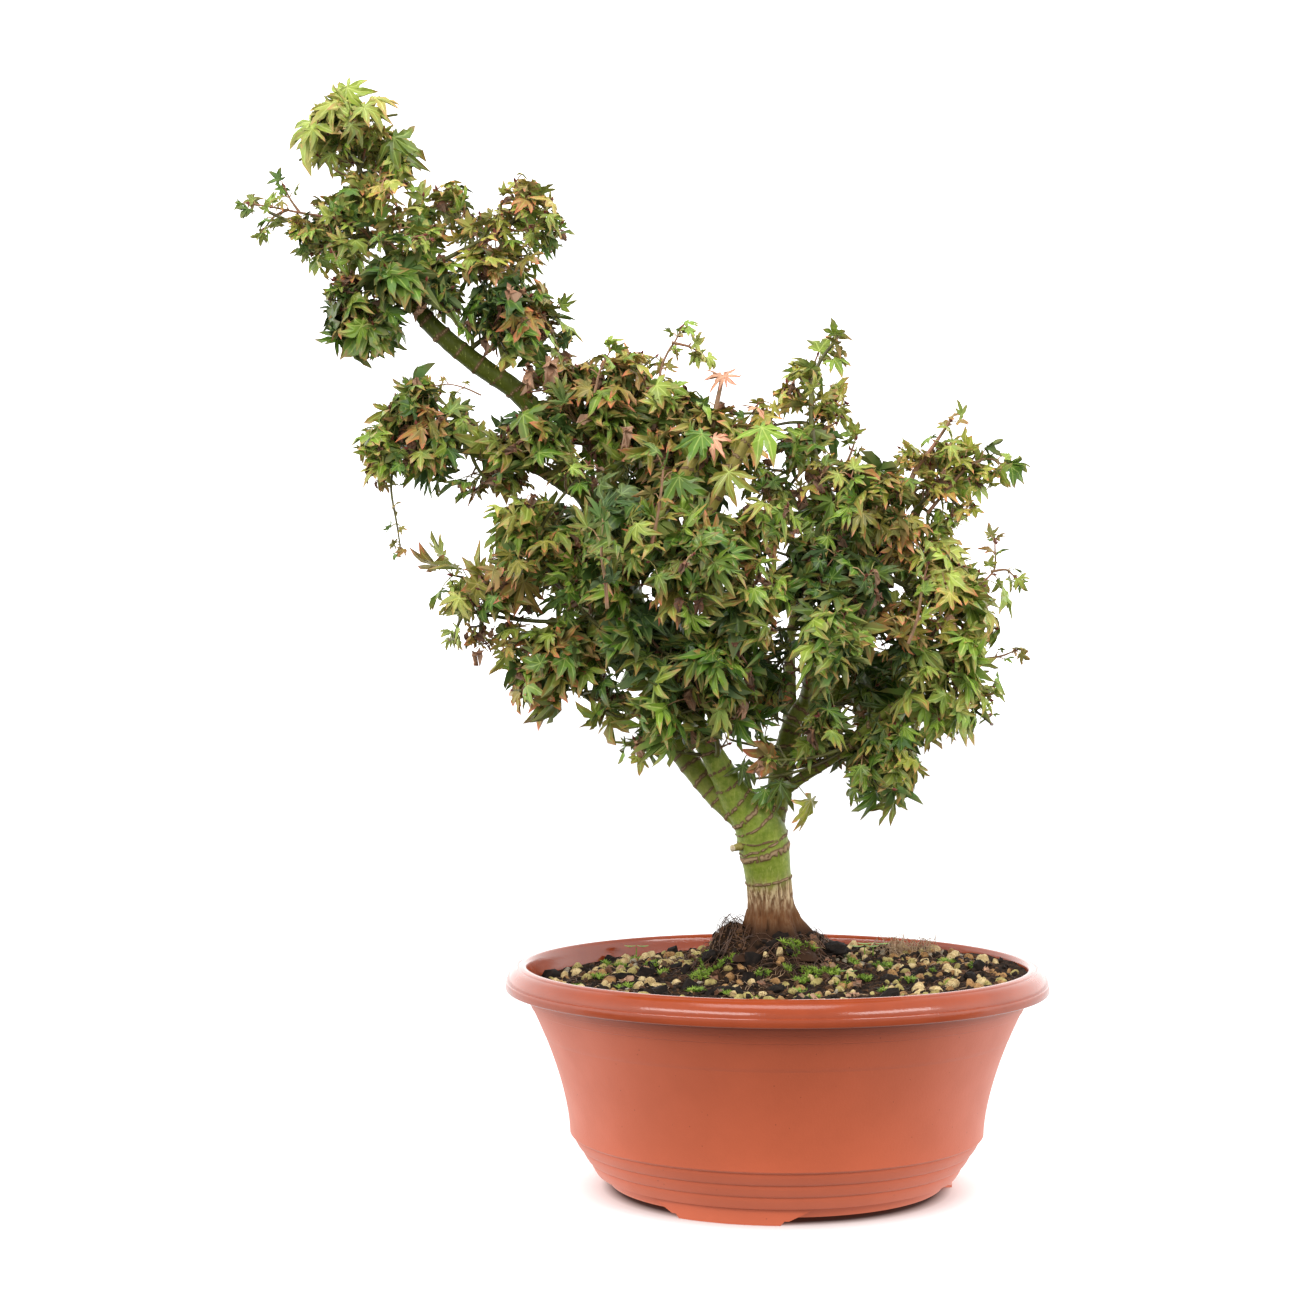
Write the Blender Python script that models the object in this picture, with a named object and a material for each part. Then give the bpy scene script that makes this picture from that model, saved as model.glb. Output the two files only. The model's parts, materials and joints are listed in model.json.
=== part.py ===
"""Bonsai maple in a round plastic bowl, at real size in metres, standing on its three feet.

The bowl's axis is the vertical line through x = 0, y = 0 while the pieces are made. At the end
everything is carried by one empty, which centres the whole object over the origin.
"""
import math
import random

import bmesh
import bpy
from mathutils import Matrix, Vector, noise
from mathutils.bvhtree import BVHTree

MM = 0.001
GAP = 0.3 * MM
UP = Vector((0.0, 0.0, 1.0))

# Bowl: a thin moulded wall under a rolled rim, three steps near the base, three feet
SEGMENTS = 32
BOWL_HEIGHT = 123.0 * MM
WALL = 2.6 * MM
MOUTH_RADIUS = 138.6 * MM
MOUTH_CHAMFER = (0.6 * MM, 2.5 * MM)
RIM_RADIUS = 150.0 * MM
RIM_CREST_RADIUS = 140.4 * MM
RIM_RIDGE_HEIGHT = 114.4 * MM
RIM_LIP_HEIGHT = 109.6 * MM
RIM_LIP_WIDTH = 2.8 * MM
RIM_EDGE = 0.7 * MM
RIM_GROOVE = 2.6 * MM
RIM_POINTS = 3
BODY_FOOT_RADIUS = 114.2 * MM
BODY_FOOT_HEIGHT = 31.0 * MM
BODY_FLARE = 20.8 * MM
BODY_FLARE_HEIGHT = 69.0 * MM
BODY_FLARE_POWER = 1.6
BODY_HEIGHTS = [value * MM for value in (31.0, 58.0, 84.0, 104.0)]
STEPS = 3
STEP_HEIGHT = 7.0 * MM
STEP_SLOPE = 3.4 * MM
STEP_LEDGE = 1.2 * MM
STEP_EDGE = 0.5 * MM
BASE_RING_RADIUS = 92.0 * MM
BASE_RING_WIDTH = 5.0 * MM
BASE_RING_HEIGHT = 3.5 * MM
BASE_RING_TAPER = 0.8 * MM
FLOOR_HEIGHT = 5.0 * MM
FOOT_ANGLES = [math.radians(value) for value in (-18.0, 102.0, 222.0)]
FOOT_OUTER_RADIUS = 94.0 * MM
FOOT_INNER_RADIUS = 84.0 * MM
FOOT_INNER_LOW = 5.6 * MM
FOOT_TOP_RADIUS = 92.5 * MM
FOOT_TOP = 10.8 * MM
FOOT_OUTLINE = [
    (-28.0, 9.0), (-19.0, 2.2), (-17.6, 2.2), (-16.4, 0.0), (-8.2, 0.0),
    (0.0, 0.0), (8.2, 0.0), (16.4, 0.0), (17.6, 2.2), (19.0, 2.2), (28.0, 9.0),
]
BOWL_SHARP_ANGLE = 28.0

# Soil: fills the bowl, a little higher on the right, and heaped up to the trunk
TRUNK_FOOT = Vector((-0.5 * MM, 12.0 * MM))
SOIL_LEVEL = 115.5 * MM
SOIL_TILT = 0.034
SOIL_MOUND_TOP = 130.0 * MM
SOIL_PLATEAU = 24.0 * MM
SOIL_MOUND_REACH = 72.0 * MM
SOIL_BUMP = 1.6 * MM
SOIL_BUMP_SCALE = 60.0
SOIL_RING_SHARES = (0.0, 0.20, 0.38, 0.58, 0.80)
SOIL_SHARP_ANGLE = 40.0

# Trunk and leader: one line of (x, y, z, radius) in millimetres, parted at two joints
TRUNK_LINE = [
    (-0.5, 12.0, 130.3, 14.6), (-2.2, 10.0, 154.0, 12.6), (-4.0, 8.0, 171.0, 12.7),
    (-6.3, 6.0, 186.2, 13.8), (-10.4, 3.0, 200.9, 13.2), (-21.1, 0.0, 216.1, 9.8),
    (-34.5, -4.0, 237.4, 6.6), (-42.3, -6.0, 250.7, 6.0), (-60.0, -6.0, 286.7, 5.8),
    (-82.1, 2.0, 330.0, 5.7), (-99.5, 8.0, 372.0, 5.6), (-128.4, 6.0, 419.3, 5.6),
    (-142.2, 3.0, 440.7, 5.6), (-164.2, -1.0, 459.7, 5.4), (-190.6, -3.0, 480.5, 4.6),
    (-209.5, -3.0, 507.1, 3.6), (-220.7, -2.0, 537.7, 2.6),
]
TRUNK_PARTS = [("trunk", 0, 4), ("leader_lower", 4, 10), ("leader_upper", 10, 16)]
TRUNK_SIDES = 14
LEADER_SIDES = 10
LIMB_SPANS = 2
LIMB_SHARP_ANGLE = 50.0
FLARE = 0.55
FLARE_HEIGHT = 9.0 * MM
FLARE_LOBES = 5
FLARE_LOBE_SHARE = 0.38
FLARE_TURN = 0.7

# Boughs: each starts inside the limbs that bear it and is trimmed back to their bark
BOUGHS = {
    "bough_low_left": (("leader_lower", "trunk"), [
        (-17.1, 2.0, 206.5, 5.2), (-32.0, 6.0, 215.8, 5.0), (-45.3, 10.0, 227.8, 4.7),
        (-75.5, 15.0, 253.9, 3.9), (-92.3, 12.0, 266.9, 3.2), (-107.0, 8.0, 272.0, 2.5)]),
    "bough_left": (("leader_upper",), [
        (-107.0, 8.0, 384.0, 3.9), (-118.0, 0.0, 388.5, 3.7), (-131.7, -8.0, 396.5, 3.4),
        (-152.4, -12.0, 402.2, 2.9), (-168.0, -14.0, 405.0, 2.4)]),
    "bough_right": (("trunk", "leader_lower"), [
        (-5.3, 4.0, 189.7, 6.6), (0.4, 6.0, 210.2, 6.2), (4.9, 8.0, 234.1, 5.8),
        (11.3, 12.0, 256.3, 5.4), (25.3, 12.0, 278.7, 5.0), (40.8, 10.0, 305.0, 4.7)]),
    "bough_right_upper": (("bough_right",), [
        (40.8, 10.0, 305.0, 4.7), (44.4, 6.0, 324.5, 4.4), (41.3, 2.0, 355.0, 3.6),
        (30.0, 0.0, 379.9, 3.0), (22.7, -2.0, 400.8, 2.4)]),
    "bough_low_right": (("bough_right",), [
        (1.6, 6.0, 215.8, 3.7), (13.2, -2.0, 225.1, 3.4), (33.0, -12.0, 238.8, 3.1),
        (49.3, -20.0, 253.9, 2.7), (63.7, -24.0, 266.6, 2.3)]),
    "bough_far_right": (("bough_right_upper", "bough_right"), [
        (41.9, 9.0, 310.6, 3.2), (58.3, 6.0, 338.4, 2.9), (71.9, 2.0, 363.3, 2.5),
        (80.0, 0.0, 376.0, 2.2)]),
    "bough_centre": (("leader_lower",), [
        (-55.5, -5.0, 277.2, 3.6), (-58.0, -30.0, 310.2, 3.2), (-54.8, -42.0, 342.3, 2.7),
        (-48.5, -44.0, 371.6, 2.2)]),
    "bough_front_right": (("bough_right",), [
        (16.9, 12.0, 265.8, 3.4), (18.3, -15.0, 286.0, 3.0), (22.0, -36.0, 305.0, 2.4)]),
    "bough_back_right": (("bough_right",), [
        (8.3, 9.0, 246.3, 4.2), (10.1, 40.0, 273.7, 3.6), (11.8, 62.0, 304.0, 3.0),
        (18.3, 72.0, 330.0, 2.4)]),
    "bough_back_left": (("leader_lower",), [
        (-75.5, 0.0, 317.7, 3.6), (-80.2, 30.0, 344.0, 3.2), (-80.0, 50.0, 370.0, 2.5)]),
}
BOUGH_SIDES = 7

# Foliage: name, (limb, share of its length), centre, radii, all in millimetres
MASSES = [
    ("crown_tip", ("leader_upper", 1.0), (-237, -2, 576), (38, 36, 40)),
    ("upper_left", ("leader_upper", 0.93), (-238, -4, 524), (40, 42, 36)),
    ("left_shoot", ("leader_upper", 0.95), (-273, -2, 538), (32, 28, 26)),
    ("upper_tuft", ("leader_upper", 0.80), (-155, 4, 530), (44, 44, 38)),
    ("upper_under", ("leader_upper", 0.74), (-226, -4, 478), (36, 40, 34)),
    ("upper_low", ("leader_upper", 0.52), (-140, 4, 478), (40, 42, 32)),
    ("left_spur", ("bough_left", 1.0), (-198, -14, 409), (40, 42, 42)),
    ("top_left", ("leader_upper", 0.12), (-100, 0, 424), (48, 52, 40)),
    ("top_centre", ("bough_centre", 1.0), (-42, -20, 412), (42, 46, 38)),
    ("right_shoot", ("bough_right_upper", 1.0), (20, -4, 432), (32, 36, 42)),
    ("far_right_top", ("bough_far_right", 1.0), (98, 0, 392), (40, 44, 38)),
    ("right_top", ("bough_right_upper", 0.55), (46, -22, 372), (42, 46, 38)),
    ("centre_left", ("leader_lower", 0.72), (-122, -12, 344), (48, 52, 46)),
    ("low_left", ("bough_low_left", 1.0), (-116, 2, 284), (44, 52, 40)),
    ("left_low_shoot", ("leader_lower", 0.80), (-172, 0, 321), (32, 32, 33)),
    ("centre_front", ("bough_centre", 0.62), (-54, -62, 342), (50, 50, 50)),
    ("centre_low", ("leader_lower", 0.34), (-46, -40, 276), (50, 50, 42)),
    ("right_centre", ("bough_front_right", 1.0), (28, -60, 318), (50, 50, 48)),
    ("right", ("bough_far_right", 0.35), (94, -4, 320), (48, 54, 44)),
    ("low_right", ("bough_low_right", 1.0), (88, -18, 266), (42, 48, 38)),
    ("right_low", ("bough_low_right", 0.62), (56, -16, 232), (34, 40, 36)),
    ("back_top", ("bough_back_left", 1.0), (-56, 58, 396), (52, 50, 46)),
    ("back_left", ("bough_back_left", 0.60), (-108, 64, 350), (54, 50, 50)),
    ("back_low", ("bough_back_right", 0.35), (-48, 62, 292), (54, 52, 46)),
    ("back_right", ("bough_back_right", 1.0), (42, 66, 344), (54, 52, 52)),
    ("back_right_low", ("bough_back_right", 0.22), (52, 44, 270), (50, 50, 40)),
]
SPACE_GROWTH = 1.10
CELL_MARGIN = 0.35 * MM
PROBE_STEP = 2.0 * MM
STEM_RADII = (1.9 * MM, 1.1 * MM)
STEM_SPANS = 3
STEM_PAST_CENTRE = 0.30
STEM_BEND = 0.45
TWIG_RADII = (1.3 * MM, 0.9 * MM)
TWIG_SIDES = 3
TWIG_NODES = (0.42, 0.74)
TWIG_ANGLE = math.radians(60.0)
TWIG_LIFT = 0.22
TWIG_SHARE = 0.42
TWIG_LEAST = 6.0 * MM
LEAF_LENGTHS = [value * MM for value in (60.0, 54.0, 48.0, 42.0, 36.0, 30.0, 24.0)]
LEAF_THICKNESS = 0.03
LEAF_DROOP = 0.30
LEAF_STALK = 0.36
LEAF_ROOT_HALF = 0.4 * MM
LEAF_LOBES = [
    (0.0, 0.64), (25.0, 0.27), (50.0, 0.58), (110.0, 0.40), (152.0, 0.10)]
LEAF_TRIES = 10
LEAF_OUTWARD = 0.7
LEAF_SWING = 0.6
LEAF_SEATS = {
    "twig": ((1.0 * MM, 0.0), (3.2 * MM, 1.3), (5.0 * MM, -1.3)),
    "stem": ((1.0 * MM, 0.0),),
}
SEED = 11

COLOURS = {
    "bowl": ((0.56, 0.13, 0.065), 0.38),
    "soil": ((0.035, 0.022, 0.015), 0.95),
    "old_bark": ((0.33, 0.25, 0.13), 0.85),
    "green_bark": ((0.17, 0.19, 0.04), 0.6),
    "leaf": ((0.09, 0.16, 0.035), 0.5),
}


def clear_scene():
    for item in list(bpy.data.objects):
        bpy.data.objects.remove(item, do_unlink=True)


def finish(name):
    """Plain material of one of the named colours, made once."""
    if name in bpy.data.materials:
        return bpy.data.materials[name]
    colour, roughness = COLOURS[name]
    made = bpy.data.materials.new(name)
    made.use_nodes = True
    shader = made.node_tree.nodes["Principled BSDF"]
    shader.inputs["Base Color"].default_value = (*colour, 1.0)
    shader.inputs["Roughness"].default_value = roughness
    shader.inputs["Metallic"].default_value = 0.0
    return made


def add_object(name, shape, material, sharp_angle=None):
    """Turns a bmesh into an object of the scene and frees the bmesh."""
    mesh = bpy.data.meshes.new(name)
    shape.to_mesh(mesh)
    shape.free()
    if sharp_angle is not None:
        mesh.shade_smooth()
        mesh.set_sharp_from_angle(angle=math.radians(sharp_angle))
    mesh.materials.append(finish(material))
    made = bpy.data.objects.new(name, mesh)
    bpy.context.scene.collection.objects.link(made)
    return made


def combine(target, operation, shapes):
    """Joins shapes to the target, or cuts them from it, by one Boolean on a collection."""
    group = bpy.data.collections.new("operands")
    bpy.context.scene.collection.children.link(group)
    for shape in shapes:
        mesh = bpy.data.meshes.new("operand")
        shape.to_mesh(mesh)
        shape.free()
        group.objects.link(bpy.data.objects.new("operand", mesh))
    step = target.modifiers.new(operation.lower(), "BOOLEAN")
    step.operation = operation
    step.operand_type = "COLLECTION"
    step.collection = group
    step.solver = "EXACT"
    graph = bpy.context.evaluated_depsgraph_get()
    result = bpy.data.meshes.new_from_object(target.evaluated_get(graph))
    target.modifiers.remove(step)
    result.name = target.name
    target.data = result
    for item in list(group.objects):
        bpy.data.objects.remove(item, do_unlink=True)
    bpy.data.collections.remove(group)
    keep_main_body(target.data)


def keep_main_body(mesh):
    """Drops loose scraps and the inner skins of sealed hollows, and keeps the largest body."""
    shape = bmesh.new()
    shape.from_mesh(mesh)
    waiting = set(shape.verts)
    bodies = []
    while waiting:
        front = [waiting.pop()]
        body = set(front)
        while front:
            for edge in front.pop().link_edges:
                for vert in edge.verts:
                    if vert not in body:
                        body.add(vert)
                        front.append(vert)
        waiting -= body
        bodies.append(body)
    bodies.sort(key=len)
    for body in bodies[:-1]:
        bmesh.ops.delete(shape, geom=list(body), context="VERTS")
    shape.to_mesh(mesh)
    shape.free()


def turned(profile):
    """Solid of revolution about Z from (radius, height) pairs that start and end on the axis."""
    shape = bmesh.new()
    verts = [shape.verts.new((radius, 0.0, height)) for radius, height in profile]
    edges = [shape.edges.new(pair) for pair in zip(verts, verts[1:])]
    bmesh.ops.spin(
        shape, geom=verts + edges, cent=(0.0, 0.0, 0.0), axis=UP,
        angle=math.tau, steps=SEGMENTS, use_merge=True)
    bmesh.ops.remove_doubles(shape, verts=shape.verts, dist=1e-6)
    bmesh.ops.recalc_face_normals(shape, faces=shape.faces)
    return shape


def body_radius(height):
    """Outside of the bowl between its steps and its rim."""
    share = max(0.0, (height - BODY_FOOT_HEIGHT) / BODY_FLARE_HEIGHT)
    return BODY_FOOT_RADIUS + BODY_FLARE * share ** BODY_FLARE_POWER


def inner_profile():
    """Inside of the bowl from the middle of its floor up to its mouth."""
    floor = FLOOR_HEIGHT + WALL
    profile = [(0.0, floor), (BASE_RING_RADIUS - BASE_RING_WIDTH, floor)]
    profile += [(body_radius(height) - WALL, height) for height in BODY_HEIGHTS]
    narrow, low = MOUTH_CHAMFER
    profile += [(MOUTH_RADIUS - narrow, BOWL_HEIGHT - low), (MOUTH_RADIUS, BOWL_HEIGHT)]
    return profile


def rim_profile():
    """Outside of the rolled rim, from its crest down to its lip and in under it."""
    profile = []
    ridge = RIM_RADIUS - RIM_EDGE
    for index in range(RIM_POINTS + 1):
        angle = 0.5 * math.pi * index / RIM_POINTS
        profile.append((
            RIM_CREST_RADIUS + (ridge - RIM_CREST_RADIUS) * math.sin(angle),
            RIM_RIDGE_HEIGHT + (BOWL_HEIGHT - RIM_RIDGE_HEIGHT) * math.cos(angle)))
    profile += [
        (RIM_RADIUS, RIM_RIDGE_HEIGHT - RIM_EDGE),
        (RIM_RADIUS, RIM_LIP_HEIGHT + RIM_EDGE),
        (RIM_RADIUS - RIM_EDGE, RIM_LIP_HEIGHT),
        (RIM_RADIUS - RIM_LIP_WIDTH, RIM_LIP_HEIGHT),
        (RIM_RADIUS - RIM_LIP_WIDTH - 0.2 * MM, RIM_LIP_HEIGHT + RIM_GROOVE),
        (body_radius(RIM_LIP_HEIGHT) + 1.0 * MM, RIM_LIP_HEIGHT + RIM_GROOVE)]
    return profile


def base_profile():
    """Outside of the body, down its steps to the ring and the hollow under the floor."""
    profile = [(body_radius(height), height) for height in reversed(BODY_HEIGHTS)]
    radius = BODY_FOOT_RADIUS
    height = BODY_FOOT_HEIGHT
    for _ in range(STEPS):
        radius -= STEP_LEDGE
        profile.append((radius, height - STEP_EDGE))
        radius -= STEP_SLOPE
        height -= STEP_HEIGHT
        profile.append((radius, height))
    inner = BASE_RING_RADIUS - BASE_RING_WIDTH
    profile += [
        (BASE_RING_RADIUS, height - 1.0 * MM),
        (BASE_RING_RADIUS - BASE_RING_TAPER, BASE_RING_HEIGHT),
        (inner, BASE_RING_HEIGHT),
        (inner, FLOOR_HEIGHT),
        (0.0, FLOOR_HEIGHT)]
    return profile


def around(angle, radius, height):
    """Point at an angle that is counted from the front towards the right."""
    return Vector((radius * math.sin(angle), -radius * math.cos(angle), height))


def bowl_foot(middle):
    """One foot: a curved block whose underside narrows by a slope and a small step."""
    shape = bmesh.new()
    rings = []
    for degrees, low in FOOT_OUTLINE:
        angle = middle + math.radians(degrees)
        corners = (
            (FOOT_INNER_RADIUS, min(low * MM, FOOT_INNER_LOW)), (FOOT_OUTER_RADIUS, low * MM),
            (FOOT_OUTER_RADIUS, FOOT_TOP), (FOOT_TOP_RADIUS, FOOT_TOP))
        rings.append([shape.verts.new(around(angle, *corner)) for corner in corners])
    close_loft(shape, rings)
    return shape


def close_loft(shape, rings):
    """Skins a row of rings that have the same number of points, and caps both ends."""
    for ring, following in zip(rings, rings[1:]):
        for index in range(len(ring)):
            other = (index + 1) % len(ring)
            shape.faces.new((ring[index], ring[other], following[other], following[index]))
    shape.faces.new(rings[0])
    shape.faces.new(rings[-1])
    bmesh.ops.recalc_face_normals(shape, faces=shape.faces)


def make_bowl():
    shape = turned(inner_profile() + rim_profile() + base_profile())
    bowl = add_object("bowl", shape, "bowl")
    combine(bowl, "UNION", [bowl_foot(angle) for angle in FOOT_ANGLES])
    bowl.data.shade_smooth()
    bowl.data.set_sharp_from_angle(angle=math.radians(BOWL_SHARP_ANGLE))
    return bowl


def soil_height(x, y):
    """Level of the soil: a slight tilt, small bumps and a heap with a flat top at the trunk."""
    level = SOIL_LEVEL + SOIL_TILT * x
    level += SOIL_BUMP * noise.noise(Vector((x, y, 0.0)) * SOIL_BUMP_SCALE)
    away = (Vector((x, y)) - TRUNK_FOOT).length
    share = (away - SOIL_PLATEAU) / (SOIL_MOUND_REACH - SOIL_PLATEAU)
    share = min(1.0, max(0.0, share))
    heap = (1.0 - share) ** 2
    return level + (SOIL_MOUND_TOP - level) * heap


def make_soil():
    wall = inner_profile()[:-1]
    side = [(radius - GAP if radius else 0.0, height) for radius, height in wall[:-1]]
    side[0] = (0.0, side[0][1] + GAP)
    side[1] = (side[1][0], side[1][1] + GAP)
    edge_low, edge_high = wall[-2], wall[-1]
    top = [(edge_high[0] * share, SOIL_LEVEL) for share in reversed(SOIL_RING_SHARES)]
    shape = turned(side + [(edge_high[0] - GAP, edge_high[1])] + top)
    highest_side = side[-1][1]
    for vert in shape.verts:
        if vert.co.z <= highest_side + GAP:
            continue
        outward = Vector((vert.co.x, vert.co.y))
        if outward.length > edge_low[0]:
            level = soil_height(vert.co.x, vert.co.y)
            share = (level - edge_low[1]) / (edge_high[1] - edge_low[1])
            radius = edge_low[0] + (edge_high[0] - edge_low[0]) * share - GAP
            outward = outward.normalized() * radius
            vert.co.x, vert.co.y = outward
            vert.co.z = level
        else:
            vert.co.z = soil_height(vert.co.x, vert.co.y)
    return add_object("soil", shape, "soil", SOIL_SHARP_ANGLE)


def smooth_line(points):
    """Smooth curve through (x, y, z, radius) points in millimetres, as metre stations."""
    points = [Vector(point) * MM for point in points]
    points = [2.0 * points[0] - points[1]] + points + [2.0 * points[-1] - points[-2]]
    stations = []
    for index in range(1, len(points) - 2):
        before, start, end, after = points[index - 1:index + 3]
        for step in range(LIMB_SPANS):
            t = step / LIMB_SPANS
            stations.append(0.5 * (
                2.0 * start + (end - before) * t
                + (2.0 * before - 5.0 * start + 4.0 * end - after) * t * t
                + (3.0 * start - before - 3.0 * end + after) * t ** 3))
    stations.append(points[-2])
    return with_tangents(stations)


def with_tangents(stations):
    """Adds a direction to each (x, y, z, radius) station."""
    found = []
    for index, station in enumerate(stations):
        before = stations[max(index - 1, 0)].xyz
        after = stations[min(index + 1, len(stations) - 1)].xyz
        found.append((station.xyz, (after - before).normalized(), station.w))
    return found


def tube(stations, sides, swell=0.0, ripple=None):
    """Tapering limb with flat ends along (point, direction, radius) stations."""
    shape = bmesh.new()
    rings = []
    side = Vector((0.0, -1.0, 0.0))
    last = len(stations) - 1
    for index, (point, direction, radius) in enumerate(stations):
        side = (side - direction * side.dot(direction)).normalized()
        other = direction.cross(side)
        if index == 0:
            point = point - direction * swell
        if index == last:
            point = point + direction * swell
        ring = []
        for corner in range(sides):
            angle = math.tau * corner / sides
            outward = side * math.cos(angle) + other * math.sin(angle)
            reach = radius + swell
            if ripple:
                reach *= ripple(point.z, angle)
            ring.append(shape.verts.new(point + outward * reach))
        rings.append(ring)
    close_loft(shape, rings)
    return shape


def root_flare(height, angle):
    """Widens the foot of the trunk into rounded roots that die away upwards."""
    fade = math.exp(-(height - TRUNK_LINE[0][2] * MM) / FLARE_HEIGHT)
    lobe = FLARE_LOBE_SHARE * math.sin(FLARE_LOBES * angle + FLARE_TURN)
    return 1.0 + FLARE * fade * (1.0 - FLARE_LOBE_SHARE + lobe)


def limb_lines():
    """Stations, sides and ripple of the trunk, the leader and every bough."""
    line = smooth_line(TRUNK_LINE)
    line[0] = (line[0][0], UP, line[0][2])
    lines = {}
    for name, first, last in TRUNK_PARTS:
        stations = line[first * LIMB_SPANS:last * LIMB_SPANS + 1]
        if first:
            point, direction, radius = stations[0]
            stations[0] = (point + direction * GAP, direction, radius)
            lines[name] = (stations, LEADER_SIDES, None)
        else:
            lines[name] = (stations, TRUNK_SIDES, root_flare)
    for name, (_, points) in BOUGHS.items():
        lines[name] = (smooth_line(points), BOUGH_SIDES, None)
    return lines


def make_limbs(lines):
    """One object for each limb, with every bough trimmed GAP clear of the limbs that bear it."""
    limbs = []
    for name, (stations, sides, ripple) in lines.items():
        material = "old_bark" if name == "trunk" else "green_bark"
        limb = add_object(name, tube(stations, sides, ripple=ripple), material)
        if name in BOUGHS:
            bearers = [lines[bearer] for bearer in BOUGHS[name][0]]
            combine(limb, "DIFFERENCE", [
                tube(bearer[0], bearer[1], swell=GAP, ripple=bearer[2]) for bearer in bearers])
        limb.data.shade_smooth()
        limb.data.set_sharp_from_angle(angle=math.radians(LIMB_SHARP_ANGLE))
        limbs.append(limb)
    return limbs


class Space:
    """The room that one mass of foliage keeps to: an ellipsoid, parted flat from its neighbours."""

    def __init__(self, name, bearer, centre, radii):
        self.name = "foliage_" + name
        self.bearer = bearer
        self.centre = Vector(centre) * MM
        self.radii = Vector(radii) * MM * SPACE_GROWTH
        self.weight = (sum(self.radii) / 3.0) ** 2
        self.neighbours = []

    def depth(self, point):
        """0 at the centre and 1 on the ellipsoid."""
        away = point - self.centre
        return math.sqrt(sum((away[axis] / self.radii[axis]) ** 2 for axis in range(3)))

    def holds(self, points):
        for point in points:
            if self.depth(point) > 1.0:
                return False
            own = (point - self.centre).length_squared - self.weight
            for other in self.neighbours:
                theirs = (point - other.centre).length_squared - other.weight
                if theirs - own < 2.0 * CELL_MARGIN * (other.centre - self.centre).length:
                    return False
        return True

    def reach(self, point, direction):
        """Distance from a point to the edge of the space along a direction."""
        distance = 0.0
        while self.holds([point + direction * (distance + PROBE_STEP)]):
            distance += PROBE_STEP
        return distance


def find_spaces():
    spaces = [Space(*row) for row in MASSES]
    for space in spaces:
        space.neighbours = [other for other in spaces if other is not space]
    return spaces


def stem_line(space, lines):
    """Stem of a mass, from the bark of its limb to past the middle of its space."""
    limb, share = space.bearer
    stations = lines[limb][0]
    point, direction = along(stations, share)
    if share < 1.0:
        away = space.centre - point
        direction = (away - direction * away.dot(direction)).normalized()
        nearest = min(stations, key=lambda station: (station[0] - point).length)
        point = point + direction * nearest[2]
    start = point + direction * GAP
    away = space.centre - start
    end = space.centre + away.normalized() * STEM_PAST_CENTRE * min(space.radii)
    control = start + direction * STEM_BEND * away.length
    line = []
    for step in range(STEM_SPANS + 1):
        t = step / STEM_SPANS
        place = start * (1.0 - t) ** 2 + control * 2.0 * t * (1.0 - t) + end * t * t
        width = STEM_RADII[0] + (STEM_RADII[1] - STEM_RADII[0]) * t
        line.append(Vector((*place, width)))
    stations = with_tangents(line)
    stations[0] = (stations[0][0], direction, stations[0][2])
    return stations


def leaf_shape(root, direction, normal, length, blade_only=False):
    """Lobed leaf with a thick middle, drooping tips and a stalk that stays thick at its root."""
    shape = bmesh.new()
    side = normal.cross(direction)
    palm = root + direction * (LEAF_STALK * length)
    left = []
    right = []
    for degrees, reach in LEAF_LOBES:
        angle = math.radians(degrees)
        ahead = direction * math.cos(angle) * reach - normal * LEAF_DROOP * reach ** 2
        ahead = palm + ahead * length
        sideways = side * math.sin(angle) * reach * length
        left.append(shape.verts.new(ahead + sideways))
        right.append(shape.verts.new(ahead - sideways) if degrees else left[0])
    ends = []
    for sense in (1.0, -1.0):
        apex = shape.verts.new(palm + normal * (sense * 0.5 * LEAF_THICKNESS * length))
        if blade_only:
            end = apex
        else:
            end = shape.verts.new(root + normal * (sense * LEAF_ROOT_HALF))
        for edge in (left, right):
            row = edge if blade_only else edge + [end]
            for vert, following in zip(row, row[1:]):
                shape.faces.new((vert, following, apex))
        ends.append(end)
    for edge in (left, right):
        shape.faces.new((edge[-1], *ends))
    bmesh.ops.recalc_face_normals(shape, faces=shape.faces)
    return shape


def touches(shape, trees):
    tree = BVHTree.FromBMesh(shape)
    return any(other.overlap(tree) for other in trees)


def turn_about(vector, axis, angle):
    return Matrix.Rotation(angle, 3, axis) @ vector


def along(stations, share):
    """Point and direction at a share of the way along some stations."""
    place = share * (len(stations) - 1)
    low = min(int(place), len(stations) - 2)
    point = stations[low][0].lerp(stations[low + 1][0], place - low)
    direction = stations[low][1].lerp(stations[low + 1][1], place - low).normalized()
    return point, direction


def grow_mass(space, stem, trees, rng):
    """Twigs in opposite pairs, each pair a quarter turn on, with leaves at their nodes."""
    wood = [tube(stem, TWIG_SIDES)]
    nodes = []
    start = rng.uniform(0.0, math.pi)
    for index, share in enumerate(TWIG_NODES):
        point, axis = along(stem, share)
        side = turn_about(axis.orthogonal().normalized(), axis, start + 0.5 * math.pi * index)
        for sense in (1.0, -1.0):
            heading = axis * math.cos(TWIG_ANGLE) + side * sense * math.sin(TWIG_ANGLE)
            heading = (heading + UP * TWIG_LIFT).normalized()
            grow_twig(space, point, heading, trees, wood, nodes)
    tip, axis = along(stem, 1.0)
    for seat, turn in LEAF_SEATS["stem"]:
        nodes.append((tip - axis * seat, axis, turn))
    leaves = []
    leaf_trees = []
    wood_trees = [BVHTree.FromBMesh(shape) for shape in wood]
    for root, heading, turn in nodes:
        grow_leaf(space, root, heading, turn, trees, wood_trees, leaf_trees, rng, leaves)
    return wood[0], wood[1:] + leaves


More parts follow.
